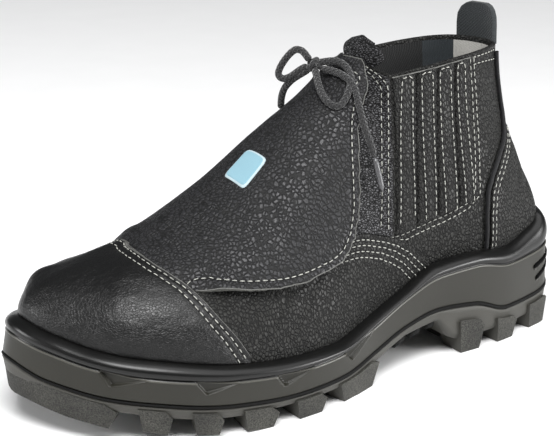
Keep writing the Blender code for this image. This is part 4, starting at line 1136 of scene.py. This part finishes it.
# Front end of the guard's thread, where it curls down to the toe seam
GUARD_CURL = ((11.0, 0.50), (10.87, 0.535), (10.62, 0.562), (10.32, 0.568), (9.95, 0.545), (9.72, 0.502),
              (9.54, 0.46), (9.38, 0.428))


def guard_stitch_row():
    """Row of thread inside the guard's free edge; at the front it curls down to the toe seam."""
    inside = inset_path(guard_edge_path(), -0.0030)
    inside = inside[np.argmin(np.hypot((inside[:, 0] - 9.1) / 4, inside[:, 1] - 0.385)):]
    return rounded_path(np.concatenate([GUARD_CURL, inside[::12], [[7.38, 1.0]]]), 500, 6)


# Thread

STITCH_LENGTH, STITCH_PITCH, STITCH_RADIUS = 0.0024, 0.0035, 0.00027
# Rings of one stitch: place along its half length, share of its radius, and rise in radii
STITCH_RINGS = ((-1.0, 0.25, -0.45), (-0.78, 0.8, -0.1), (-0.3, 1.0, 0.12), (0.3, 1.0, 0.12), (0.78, 0.8, -0.1),
                (1.0, 0.25, -0.45))
STITCH_SIDES = 6
HOLE_HALF_LENGTH, HOLE_HALF_WIDTH, HOLE_RISE = 0.00062, 0.00048, 0.00005


def surface_frame(path, out):
    """Points on a path at even spacing, with the direction along it and the face's normal."""
    fine = dense_path(path, 800)
    place = out if callable(out) else lambda line, rise: on_form(line, out + rise)
    points, raised = place(fine, 0.0), place(fine, 0.001)
    length = running_length(points)
    count = max(2, int(length[-1] / STITCH_PITCH))
    where = (np.arange(count) + 0.5) * length[-1] / count
    along = unit(places_on(points, where + 0.0005) - places_on(points, where - 0.0005))
    above = np.stack([np.interp(where, length, raised[:, k]) for k in range(3)], axis=-1)
    centre = places_on(points, where)
    return centre, along, unit(above - centre)


def sew(name, seams):
    """Rows of thread: each stitch a rounded dash that dips into a needle hole at both ends, each hole a dark disc
    of painted shade.
    """
    vertices, faces, spots, spot_faces = [], [], [], []
    for path, out in seams:
        for centre, along, normal in zip(*surface_frame(path, out)):
            side = np.cross(normal, along)
            start = len(vertices)
            for place, width, rise in STITCH_RINGS:
                middle = centre + along * place * STITCH_LENGTH / 2 + normal * rise * STITCH_RADIUS
                for k in range(STITCH_SIDES):
                    angle = 2 * np.pi * k / STITCH_SIDES
                    ring = side * np.cos(angle) + normal * np.sin(angle) * 0.85
                    vertices.append(tuple(middle + ring * STITCH_RADIUS * width))
            for r in range(len(STITCH_RINGS) - 1):
                for k in range(STITCH_SIDES):
                    a, b = start + r * STITCH_SIDES + k, start + r * STITCH_SIDES + (k + 1) % STITCH_SIDES
                    faces.append((a, b, b + STITCH_SIDES, a + STITCH_SIDES))
            spot = len(spots)
            hole = centre + along * STITCH_PITCH / 2 + normal * HOLE_RISE
            for k in range(STITCH_SIDES):
                angle = 2 * np.pi * k / STITCH_SIDES
                spots.append(tuple(hole + along * np.cos(angle) * HOLE_HALF_LENGTH
                                   + side * np.sin(angle) * HOLE_HALF_WIDTH))
            spot_faces.append(tuple(spot + k for k in range(STITCH_SIDES)))
    mesh = bpy.data.meshes.new(name)
    mesh.from_pydata(vertices, [], faces)
    mesh.polygons.foreach_set("use_smooth", np.ones(len(mesh.polygons), bool))
    settle(name, mesh, THREAD)
    # Dark discs at the needle holes: painted shade
    holes = bpy.data.meshes.new(name + "_holes")
    holes.from_pydata(spots, [], spot_faces)
    settle(name + "_holes", holes, HOLE)


def build_stitches(on_guard):
    """All rows of thread: over the toe, then each side's, which the other side mirrors."""
    seams = [(guard_stitch_row(), on_guard)]
    seams += [(row[row[:, 1] < 0.345], PANEL_FACE) for row in wing_rows]
    seams += [(row, FACING_FACE) for row in facing_rows()]
    seams += [(row, STRIP_FACE * 0.97) for row in gore_stitch_rows()]
    seams += [(gore_border(distance), 0.0) for distance in (0.0, 1.0)]
    seams += [(row, 0.0) for row in collar_rows()]
    seams += [(row[row[:, 1] < 0.66], PANEL_FACE * 0.85) for row in counter_rows]
    sew("stitches_toe", [(cap_seam, TOE_CAP_FACE), (cap_seam_rear, TOE_CAP_FACE)])
    sew("stitches_outer", seams)
    sew("stitches_inner", [(mirrored(path), out) for path, out in seams])


def tube_mesh(name, path, radius, sides=14):
    """Round tube along a path, with texture positions in millimetres along and around it."""
    path = np.array(path, float)
    length = running_length(path)
    along = unit(np.gradient(path, axis=0))
    side = np.cross(along[0], [0.0, 0.3, 1.0])
    rings, uv = [], []
    for k, (point, direction) in enumerate(zip(path, along)):
        side = unit(side - direction * (side @ direction))
        other = np.cross(direction, side)
        angle = np.linspace(0.0, 2 * np.pi, sides + 1)
        size = radius[k] if np.ndim(radius) else radius
        rings.append(point + size * (np.cos(angle)[:, None] * side + np.sin(angle)[:, None] * other))
        uv.append(np.stack([np.full(sides + 1, length[k]), angle * LACE_RADIUS], axis=-1) / MM)
    return grid_mesh(name, np.array(rings), uv=np.array(uv))


def curve_through(points, count):
    """Smooth curve through points by their running length."""
    points = np.array(points, float)
    for _ in range(3):
        before = np.concatenate([points[:1], points[:-1]])
        after = np.concatenate([points[1:], points[-1:]])
        ahead = np.concatenate([after[1:], after[-1:]])
        middle = (-before + 9 * points + 9 * after - ahead) / 16
        woven = np.empty((2 * len(points) - 1, 3))
        woven[0::2] = points
        woven[1::2] = middle[:-1]
        points = woven
    return resampled(points, count)


def lace_route(points):
    """A table of the bow in the part's metres, before the shift into the frame."""
    return np.array(points, float) * np.array([KX, KY, KZ]) - np.array([LENGTH / 2, 0.0, 0.0])


def capped(path, radius, ends=4):
    """Radii that round off both ends of a tube."""
    sizes = np.full(len(path), radius)
    for k in range(ends):
        share = np.sin(np.pi / 2 * (k + 0.2) / ends)
        sizes[k] = radius * share
        sizes[-1 - k] = radius * share
    return sizes


# The bow in millimetres, station, y and z: each cord starts at the knot
KNOT_MIDDLE = (137.4, -7.8, 149.0)
FAR_LOOP = ((138.2, -9.6, 150.6), (139.5, -13.7, 154.6), (141.4, -17.2, 155.3), (143.8, -20.0, 152.3),
            (146.8, -21.5, 147.6), (148.6, -21.5, 143.4), (147.8, -19.0, 141.4), (145.2, -15.9, 142.7),
            (141.6, -12.3, 146.6), (139.0, -9.6, 148.4))
NEAR_LOOP = ((136.4, -6.0, 150.4), (134.0, -3.1, 151.2), (131.0, 0.5, 151.9), (128.6, 4.6, 150.6),
             (128.2, 9.2, 147.4), (130.2, 13.0, 143.7), (134.4, 16.0, 138.7), (138.6, 16.8, 134.6),
             (141.6, 14.8, 134.2), (143.2, 10.6, 136.4), (142.6, 5.6, 139.8), (141.0, 0.8, 143.2),
             (139.2, -3.2, 146.0), (138.0, -6.0, 148.0))
FAR_STRAND = ((138.8, -8.6, 147.4), (141.4, -12.2, 144.4), (144.2, -16.6, 140.6), (145.6, -20.6, 135.8),
              (144.8, -24.3, 129.9), (142.1, -28.5, 123.9))
NEAR_END = ((136.0, -5.2, 147.4), (133.4, 2.0, 147.6), (131.2, 10.0, 145.8), (130.2, 15.5, 142.0),
            (131.2, 20.5, 135.6), (131.8, 24.5, 129.4), (131.8, 27.0, 124.6), (130.4, 30.2, 117.2),
            (129.6, 31.8, 111.9), (129.4, 32.1, 111.0))
LACE_TIP = ((129.4, 32.1, 111.3), (128.3, 34.9, 102.0), (127.6, 36.7, 95.2))
# The knot's wrap: its axis, how far the cord's middle runs from it and along it, its turns, and the cord's
# radius as a share, because a pulled knot squeezes it
WRAP_AXIS = (-0.35, 0.55, -0.75)
WRAP_RADIUS, WRAP_HALF_LENGTH, WRAP_TURNS, WRAP_SQUEEZE = 0.0026, 0.0021, 1.65, 0.9


def lay_cord(name, route, count, node):
    """A cord along a route, in place of the frame's node."""
    path = curve_through(lace_route(route), count)
    piece = settle(name, tube_mesh(name, path, capped(path, LACE_RADIUS)), LACE, [node])


def build_lace():
    """Bow of round braid: wrapped knot, two loops, the strand to the far side and the near end."""
    tip = curve_through(lace_route(LACE_TIP), 24)
    settle("lace_end_tip", tube_mesh("lace_end_tip", tip, capped(tip, TIP_RADIUS)), LACE_TIP_FILM,
           ["lace_tip"])
    axis = unit(np.array(WRAP_AXIS))
    side = unit(np.cross(axis, [1.0, 0.0, 0.3]))
    other = np.cross(axis, side)
    count = 80
    turn = np.linspace(0.0, 2 * np.pi * WRAP_TURNS, count)[:, None]
    wrap = lace_route([KNOT_MIDDLE])[0] + WRAP_RADIUS * (np.cos(turn) * side + np.sin(turn) * other)
    wrap = wrap + axis * np.linspace(-WRAP_HALF_LENGTH, WRAP_HALF_LENGTH, count)[:, None]
    settle("lace_knot_wrap", tube_mesh("lace_knot_wrap", wrap, capped(wrap, LACE_RADIUS * WRAP_SQUEEZE)), LACE,
           ["lace_knot"])
    lay_cord("lace_loop_far", FAR_LOOP, 110, "lace_loop_inner")
    lay_cord("lace_loop_near", NEAR_LOOP, 130, "lace_loop_outer")
    lay_cord("lace_end_near", NEAR_END, 90, "lace_end_outer")
    lay_cord("lace_strand_far", FAR_STRAND, 60, "lace_strand_inner")


def build_piping():
    """Piping cord in the counter's seam on each side."""
    v = np.linspace(0.005, 0.975, 70)
    u = np.interp(v, counter_edge[:, 1], counter_edge[:, 0]) + 0.02
    for side, rows in (("outer", u), ("inner", other_side(u))):
        path = skin_above(rows, v, PIPING_RADIUS + 0.0001)
        name = "piping_cord_" + side
        settle(name, tube_mesh(name, path, PIPING_RADIUS, 10), PIPING, ["piping_" + side])


# Corners of the label as row and level
LABEL_PLACE = ((8.5, 1.0), (8.45, 0.84), (8.83, 0.825), (8.85, 0.985))


def build_label(on_guard):
    """Bare woven label, bowed with the guard, its corners rounded and a light bound edge around it."""
    (u00, v00), (u01, v01), (u11, v11), (u10, v10) = LABEL_PLACE
    count = 26
    a, b = np.meshgrid(np.linspace(-1, 1, count), np.linspace(-1, 1, count), indexing="ij")
    round_off = np.maximum(np.abs(a), np.abs(b)) / np.maximum((np.abs(a)**8 + np.abs(b)**8) ** (1 / 8), 1e-6)
    a, b = a * round_off, b * round_off
    for name, size, out, look, replaced in (("label_edge", 1.0, 0.0007, LABEL_EDGE, ["guard_label"]),
                                            ("label_field", 0.95, 0.0009, LABEL, ())):
        s, t = (a * size + 1) / 2, (b * size + 1) / 2
        u = (1 - s) * ((1 - t) * u00 + t * u01) + s * ((1 - t) * u10 + t * u11)
        v = (1 - s) * ((1 - t) * v00 + t * v01) + s * ((1 - t) * v10 + t * v11)
        path = np.stack([u.ravel(), v.ravel()], axis=-1)
        points = on_guard(path, out).reshape(count, count, 3)
        rim = on_guard(path, 0.0).reshape(count, count, 3)
        points[0], points[-1], points[:, 0], points[:, -1] = rim[0], rim[-1], rim[:, 0], rim[:, -1]
        settle(name, grid_mesh(name, points, uv=arc_uv(points), flip=True), look, replaced)


def build_tongue():
    """Grained leather tab in front of the collar, thickened, with softened edges."""
    middle, tall, wide = TONGUE_ROUND
    turn = np.linspace(-0.26 * np.pi, 0.49 * np.pi, 40)
    rows = [*TONGUE_NECK, *((middle + tall * np.sin(angle), wide * np.cos(angle)) for angle in turn)]
    across = np.linspace(-1.0, 1.0, 41)
    front = []
    for rise, half_width in rows:
        x = TONGUE_TAB_X * KX - LENGTH / 2 - 0.1 * rise * MM - 0.0022 * (half_width / 16.0) ** 2 * across**2
        y = (TONGUE_TAB_Y + half_width * across) * KY
        z = (TONGUE_TAB_Z + rise) * KZ - 0.0016 * across**2 * (rise / 12.0)
        front.append(np.stack([x, y, z], axis=-1))
    front = np.array(front)
    mesh = grid_mesh("tongue_tab", front, uv=arc_uv(front))
    piece = settle("tongue_tab", mesh, TONGUE_LEATHER, ["tongue"])
    thicken(piece, 0.6 * TONGUE_THICKNESS, -1.0, 0.0004)


def thicken(piece, thickness, offset, edge_width):
    """Gives a sheet its thickness and softened edges."""
    thick = piece.modifiers.new("thickness", "SOLIDIFY")
    thick.thickness = thickness
    thick.offset = offset
    bevel = piece.modifiers.new("edge", "BEVEL")
    bevel.width = edge_width
    bevel.segments = 2


def build_pull_tab():
    """Webbing tab behind the collar, narrower towards its round top."""
    middle = (PULL_TAB_START + PULL_TAB_END) / 2
    half = (PULL_TAB_END - PULL_TAB_START) / 2
    foot, top = PULL_TAB_ROWS[0][0], PULL_TAB_ROWS[-1][0]
    rows = []
    for height_mm in np.linspace(foot, top, 40):
        u = middle + half * along_table(PULL_TAB_ROWS, height_mm) * np.linspace(-1.0, 1.0, 25)
        ring = skin_above(u, np.full(len(u), 1.0), PULL_TAB_OUT)
        ring[:, 0] += PULL_TAB_LEAN * (height_mm - foot) * MM
        ring[:, 2] = height_mm * KZ
        rows.append(ring)
    points = np.array(rows)
    piece = settle("pull_tab_loop", grid_mesh("pull_tab_loop", points, uv=arc_uv(points)), WEBBING,
                   ["pull_tab"])
    thicken(piece, PULL_TAB_THICKNESS, 1.0, 0.0008)


# Sole

# Notches in the side wall and slots at the heel: row and height in mm of three points each
NOTCHES = (((13.47, 36.0), (13.12, 28.1), (12.0, 31.4)), ((11.18, 29.2), (10.89, 22.0), (9.91, 26.2)),
           ((9.4, 24.8), (9.23, 18.2), (8.59, 24.6)), ((7.99, 25.4), (7.74, 19.5), (6.98, 30.4)))
NOTCH_DEPTH, SLOT_DEPTH, SLOT_MARK_DEPTH = 0.0026, 0.0030, 0.0012
HEEL_SLOTS = (((2.02, 34.0), (1.23, 37.9), (0.55, 40.5)), ((1.86, 27.0), (1.19, 32.0), (0.55, 35.6)))


def rows_from_heel(u):
    """Row number counted from the heel on either side."""
    return np.minimum(u % ROW_COUNT, ROW_COUNT - u % ROW_COUNT)


def line_height(points, near, left=None, right=None):
    """Height in metres of a line through three points, given from the front to the back."""
    rows, heights = zip(*points[::-1])
    return np.interp(near, rows, heights, left=left, right=right) * MM


def wall_relief(u, z):
    """How far the side wall steps back inside the moulded notches and heel slots."""
    near = rows_from_heel(u)
    relief = np.zeros_like(z)
    for start, low, end in NOTCHES:
        line = line_height((start, low, end), near, 999, 999)
        above = np.clip((z - line) / 0.0005, 0.0, 1.0)
        fade = np.interp(near, [end[0], low[0], start[0]], [0.0, 1.0, 1.0])
        relief = np.minimum(relief, -NOTCH_DEPTH * above * fade)
    return relief + slot_relief(u, z)


def slot_relief(u, z):
    """How far the wall steps back inside the two slots at each side of the heel."""
    near = rows_from_heel(u)
    relief = np.zeros(np.broadcast(near, z).shape)
    for points in HEEL_SLOTS:
        inside = np.clip(1.9 - np.abs(z - line_height(points, near)) / 0.0008, 0.0, 1.0)
        span = np.clip((points[0][0] - near) / 0.05, 0.0, 1.0)
        relief = np.minimum(relief, -SLOT_DEPTH * inside * span)
    return relief


def build_midsole():
    """Moulded cup: matte side wall with notches, a crisp lip, the groove and the satin bead above it."""
    count = 900
    u = np.arange(count) * ROW_COUNT / count
    split, groove, bead = height(u, SPLIT), height(u, GROOVE), height(u, BEAD_TOP)
    flare = end_flare(u)
    rings = [sole_ring(u, -0.004, split + 0.0006), sole_ring(u, flare - 0.0006, split + 0.0006)]
    for share in np.linspace(0.0, 1.0, 44):
        z = split + 0.0012 + share * (groove - 0.0004 - split - 0.0012)
        lean = flare * (1.0 - 0.9 * share) + 0.0002 * share
        rings.append(sole_ring(u, lean + wall_relief(u, z), z))
    wall = np.array(rings)
    piece = settle("side_wall", grid_mesh("side_wall", wall, closed=True), [WALL_RUBBER, SLOT_SHADE],
                   ["midsole"])
    depth = slot_relief(np.broadcast_to(u, wall.shape[:2]), wall[..., 2])
    # Faces deep in the heel slots take the painted slot shade
    mark_rim(piece, count, lambda row, column: depth[row, column] < -SLOT_MARK_DEPTH)
    stepped = wall_relief(u, groove - 0.0008)
    lip = np.array([sole_ring(u, out + stepped, groove - drop)
                    for out, drop in ((0.0006, 0.0009), (0.0007, 0.0005), (0.0002, 0.0001))])
    # The lip's lighter tone paints the thin highlight along the wall's top edge
    settle("wall_lip", grid_mesh("wall_lip", lip, closed=True), LIP_HIGHLIGHT_RUBBER)
    lip_out = 0.0004 + wall_relief(u, groove - 0.0004)
    rings = [sole_ring(u, np.minimum(lip_out, 0.0002), groove - 0.0004), sole_ring(u, lip_out - 0.0002, groove),
             sole_ring(u, -0.0014, groove + 0.0001)]
    for share in np.linspace(0.04, 1.0, 22):
        reach, swing = (0.64, 0.0062) if share > 0.36 else (0.36, 0.0018)
        out = 0.0006 - swing * (1 - np.sqrt(max(0.0, 1 - ((share - 0.36) / reach) ** 2)))
        rings.append(sole_ring(u, out, groove + share * (bead - groove)))
    rings += [sole_ring(u, -0.0070, bead - 0.0003), sole_ring(u, -0.0086, bead - 0.0025)]
    settle("bead", grid_mesh("bead", np.array(rings), closed=True), BEAD_RUBBER)


def sole_band(name, u, low, high, out, tuck, material, closed=False):
    """Narrow moulded band along the sole's outline between two heights, its edges turned in by tuck."""
    rings = [sole_ring(u, out - tuck, low), sole_ring(u, out, low + 0.15 * (high - low)),
             sole_ring(u, out, high - 0.15 * (high - low)), sole_ring(u, out - tuck, high)]
    settle(name, grid_mesh(name, np.array(rings), closed=closed), material)


def build_channel_and_slots():
    """Dark granular channel between wall and tread, partly painted shade of its recess, and the black floors of
    the heel slots, painted shade.
    """
    u = np.arange(600) * ROW_COUNT / 600
    half = np.interp(rows_from_heel(u), [0.0, 8.5, 11.5, 16.0], [1.0, 0.95, 0.45, 0.35]) * MM
    split = height(u, SPLIT)
    # Dark band along the split: partly painted shade of the recessed channel
    sole_band("tread_channel", u, split - half, split + half, end_flare(u) + 0.0006, 0.0011, CHANNEL_RUBBER_AND_SHADE, True)
    for number, points in enumerate(HEEL_SLOTS):
        rows = np.linspace(points[-1][0], points[0][0], 40)
        line = line_height(points, rows)
        thick = 0.00125 * np.clip((points[0][0] - rows) / 0.1, 0.1, 1.0)
        for side, run in (("outer", rows), ("inner", other_side(rows))):
            name = f"heel_slot_{side}_{number + 1}"
            # Near black band in the slot: painted shade
            sole_band(name, run, line - thick, line + thick, 0.7 * end_flare(run) + 0.0005, 0.0008, SLOT_SHADE)


# Arch bars: first and last row of each, then their outline as how far it lies outward and above the root
ARCH_BARS = ((6.28, 5.98), (5.82, 5.50), (5.32, 5.08))
ARCH_BAR_OUTLINE = ((-0.0105, 0.0015), (-0.0015, 0.0015), (-0.0022, -0.0021), (-0.0098, -0.0021),
                    (-0.0105, 0.0015))


def build_arch_bars():
    """Three small cross bars below the arch on each side."""
    for side in ("outer", "inner"):
        for number, span in enumerate(ARCH_BARS):
            u = np.array(span)
            root = station_height(ROOT_ROWS, outline(u)[:, 0])
            rows = u if side == "outer" else other_side(u)
            points = np.array([sole_ring(rows, out, root + rise) for out, rise in ARCH_BAR_OUTLINE])
            middles = points.mean(axis=0, keepdims=True).repeat(len(points), 0)
            ends = np.concatenate([middles[:, :1], points, middles[:, 1:]], axis=1)
            name = f"arch_bar_{side}_{number + 1}"
            # The bars' dark tone is partly painted shade under the arch
            settle(name, grid_mesh(name, ends), CHANNEL_RUBBER_AND_SHADE)


def build_outsole():
    """Tread: flat-sided body, edge lugs with softened corners, middle bars and the rear bumper block."""
    count = 400
    u = np.arange(count) * ROW_COUNT / count
    flare = end_flare(u)
    split = height(u, SPLIT)
    root = station_height(ROOT_ROWS, outline(u, flare)[:, 0])
    rings = [sole_ring(u, -0.004, split - 0.0008), sole_ring(u, flare - 0.0004, split - 0.0008),
             sole_ring(u, flare + 0.0004, split - 0.0016)]
    for share in np.linspace(0.15, 0.85, 5):
        z = split - 0.0016 + share * (root - split + 0.003)
        rings.append(sole_ring(u, flare + 0.0002 - 0.0008 * share, z))
    rings += [sole_ring(u, flare - 0.0016, root + 0.0008), sole_ring(u, flare - 0.0040, root),
              sole_ring(u, -0.012, root), sole_ring(u, -0.022, root)]
    rings.append(rings[-1] * np.array([1.0, 0.0, 1.0]))
    settle("tread_body", grid_mesh("tread_body", np.array(rings), closed=True, flip=True), TREAD_BODY,
           ["outsole"])
    build_lugs()
    build_channel_and_slots()
    build_arch_bars()


def lug_rows():
    """Start and end row of each edge lug, and which end looks to the toe: 0 start, 1 end, 2 the toe's own."""
    spans = []
    for first, last in SIDE_LUGS:
        start, end = row_at(first), row_at(last)
        spans += [(start, end, 1), (other_side(end), other_side(start), 0)]
    toe = row_at(TOE_LUG_START)
    spans.append((toe, other_side(toe), 2))
    return spans


def build_lugs():
    """Edge lugs: wide at the top and narrow at the ground, the corner away from the toe cut off."""
    work = bmesh.new()
    for start, end, toe_end in lug_rows():
        length = end - start
        inside = max(3, int(round(length * 5)))
        share = np.concatenate([[0.0], np.linspace(0.22, 0.78, inside), [1.0]]) if toe_end < 2 else \
            np.concatenate([[0.0], np.linspace(0.05, 0.95, inside), [1.0]])
        narrow = 0.11 * length if toe_end < 2 else 0.03 * length
        low = start + narrow + (length - 2 * narrow) * share
        high = start - 0.3 * narrow + (length + 0.6 * narrow) * share
        cut = np.zeros(len(share))
        cut[0 if toe_end == 1 else -1] = 1.0
        cut = cut if toe_end < 2 else np.array([1.0] + [0.0] * inside + [1.0])
        middle = float(outline(np.array([(start + end) / 2]), 0.0)[0, 0])
        drop = np.interp(middle, [-0.15, -0.11, -0.06, -0.05], [0.001, 0.003, 0.0075, 0.0])
        x = outline(high, end_flare(high))[:, 0]
        flare = end_flare(high) * np.where(x > 0, 0.2, 1.25)
        ground = station_height(GROUND_ROWS, x)
        root = station_height(ROOT_ROWS, x)
        top = height(high, SPLIT) - LUG_TOP_MARGIN - drop - 0.0034 * cut
        sections = np.stack([sole_ring(low, flare + 0.0002, ground),
                             sole_ring(high, flare + 0.0016 - 0.0004 * cut, top),
                             sole_ring(high, np.full(len(high), -LUG_REACH), root + 0.0012),
                             sole_ring(low, np.full(len(low), -LUG_REACH + 0.0008), ground)], axis=1)
        add_loft(work, sections)
    rear = np.linspace(-REAR_LUG_HALF, REAR_LUG_HALF, 13)
    lean = np.abs(rear) / REAR_LUG_HALF
    ground = GROUND_ROWS[0][1] * KZ
    wall = end_flare(rear)
    sections = np.stack([sole_ring(rear, wall + 0.0006, ground),
                         sole_ring(rear, wall + REAR_LUG_OUT, ground + 0.010),
                         sole_ring(rear, wall + REAR_LUG_OUT - 0.0008 * lean, height(rear, SPLIT) + 0.010),
                         sole_ring(rear, wall - 0.002, height(rear, SPLIT) + 0.012),
                         sole_ring(rear, np.full(13, -LUG_REACH), ground)], axis=1)
    add_loft(work, sections)
    for station, length, half_width in MIDDLE_LUGS:
        x = station * KX - LENGTH / 2
        root = float(station_height(ROOT_ROWS, x))
        ground = float(station_height(GROUND_ROWS, x)) if root < 0.0165 else root - 0.0035
        rows = np.array([row_at(station), other_side(row_at(station))])
        middle = float(np.mean(outline(rows, np.zeros(2))[:, 1]))
        ends = []
        for y in (middle - half_width * KY, middle + half_width * KY):
            corners = ((-1, ground), (-1, root + 0.0015), (1, root + 0.0015), (1, ground))
            ends.append([(x + side * length * KX / 2, y, z) for side, z in corners])
        add_loft(work, np.array(ends))
    mesh = bpy.data.meshes.new("tread_lugs")
    work.to_mesh(mesh)
    work.free()
    piece = settle("tread_lugs", mesh, [TREAD_RUBBER, TREAD_BODY])
    bevel = piece.modifiers.new("softened_edges", "BEVEL")
    bevel.width = 0.0009
    bevel.segments = 2
    bevel.limit_method = "ANGLE"
    bevel.angle_limit = np.radians(35)
    for polygon in mesh.polygons:
        polygon.use_smooth = True
    normals = piece.modifiers.new("flat_faces", "WEIGHTED_NORMAL")
    normals.keep_sharp = True


def add_loft(work, sections):
    """Closed solid through sections with the same number of corners; its two ends take the second look."""
    rows, corners = sections.shape[:2]
    grid = [[work.verts.new(point) for point in section] for section in sections]
    made = []
    for i in range(rows - 1):
        for j in range(corners):
            k = (j + 1) % corners
            made.append(work.faces.new((grid[i][j], grid[i][k], grid[i + 1][k], grid[i + 1][j])))
    for end in (work.faces.new(grid[0][::-1]), work.faces.new(grid[-1])):
        end.material_index = 1
        made.append(end)
    bmesh.ops.recalc_face_normals(work, faces=made)


def build_insole():
    """Loose board on the midsole's floor."""
    u = np.arange(160) * ROW_COUNT / 160
    inset = -(UPPER_INSET + WALL + 0.0006)
    floor = station_height(FLOOR_ROWS, outline(u, np.full(160, inset))[:, 0]) + BOND_GAP + INSOLE_THICKNESS
    rings = []
    for share in (1.0, 0.98, 0.8, 0.5, 0.2, 0.02):
        ring = sole_ring(u, inset, floor)
        ring[:, 1] *= share
        rings.append(ring)
    points = np.array(rings)
    settle("insole_board", grid_mesh("insole_board", points, closed=True, uv=arc_uv(points), flip=True), BOARD,
           ["insole"])


# Studio

# Softboxes: place, what they aim at, width and depth in metres, and power in watts
SOFTBOXES = (
    ("overhead_softbox", (0.42, 0.55, 1.1), (0.03, 0.0, 0.06), (0.75, 0.45), 17.0),
    ("toe_softbox", (1.15, -0.35, 0.45), (0.1, 0.0, 0.04), (0.45, 0.45), 7.0),
    ("side_softbox", (-0.95, 0.95, 0.3), (-0.05, 0.0, 0.06), (0.5, 0.5), 15.0),
)
# Broad soft light from the ceiling: direction, strength and how wide it spreads
WASH_DIRECTION, WASH_STRENGTH, WASH_DEGREES = (0.25, -0.45, -1.0), 1.65, 60
WORLD_COLOUR, WORLD_STRENGTH = (0.93, 0.96, 1.0, 1.0), 0.12
FLOOR_REACH, FLOOR_DROP = 3.0, 0.0002


def hang_light(name, data, direction, place=(0.0, 0.0, 0.0)):
    light = bpy.data.objects.new(name, data)
    bpy.context.scene.collection.objects.link(light)
    light.location = place
    light.rotation_mode = "QUATERNION"
    light.rotation_quaternion = direction.to_track_quat("-Z", "Y")


def build_studio():
    """White floor, three softboxes, a soft wash from above and a faint cool surround."""
    mesh = bpy.data.meshes.new("floor")
    corners = [(x * FLOOR_REACH, y * FLOOR_REACH, 0.0) for x, y in ((-1, -1), (1, -1), (1, 1), (-1, 1))]
    mesh.from_pydata(corners, [], [(0, 1, 2, 3)])
    mesh.materials.append(FLOOR)
    floor = bpy.data.objects.new("floor", mesh)
    bpy.context.scene.collection.objects.link(floor)
    floor.location.z = -FLOOR_DROP
    world = bpy.data.worlds.new("studio")
    world.use_nodes = True
    bpy.context.scene.world = world
    background = world.node_tree.nodes["Background"]
    background.inputs["Color"].default_value = WORLD_COLOUR
    background.inputs["Strength"].default_value = WORLD_STRENGTH
    for name, place, aim, size, power in SOFTBOXES:
        data = bpy.data.lights.new(name, "AREA")
        data.shape = "RECTANGLE"
        data.size, data.size_y = size
        data.energy = power
        hang_light(name, data, Vector(aim) - Vector(place), place)
    sun = bpy.data.lights.new("ceiling_wash", "SUN")
    sun.energy = WASH_STRENGTH
    sun.angle = np.radians(WASH_DEGREES)
    hang_light("ceiling_wash", sun, Vector(WASH_DIRECTION))
    bpy.context.scene.view_settings.view_transform = "Standard"


add_camera()
build_lace()
build_upper_skin()
build_toe_cap()
build_cut_edges()
build_vamp()
build_facings()
build_gores()
build_counter()
build_piping()
on_guard = build_guard()
build_label(on_guard)
build_tongue()
build_pull_tab()
build_stitches(on_guard)
build_midsole()
build_outsole()
build_insole()
build_studio()
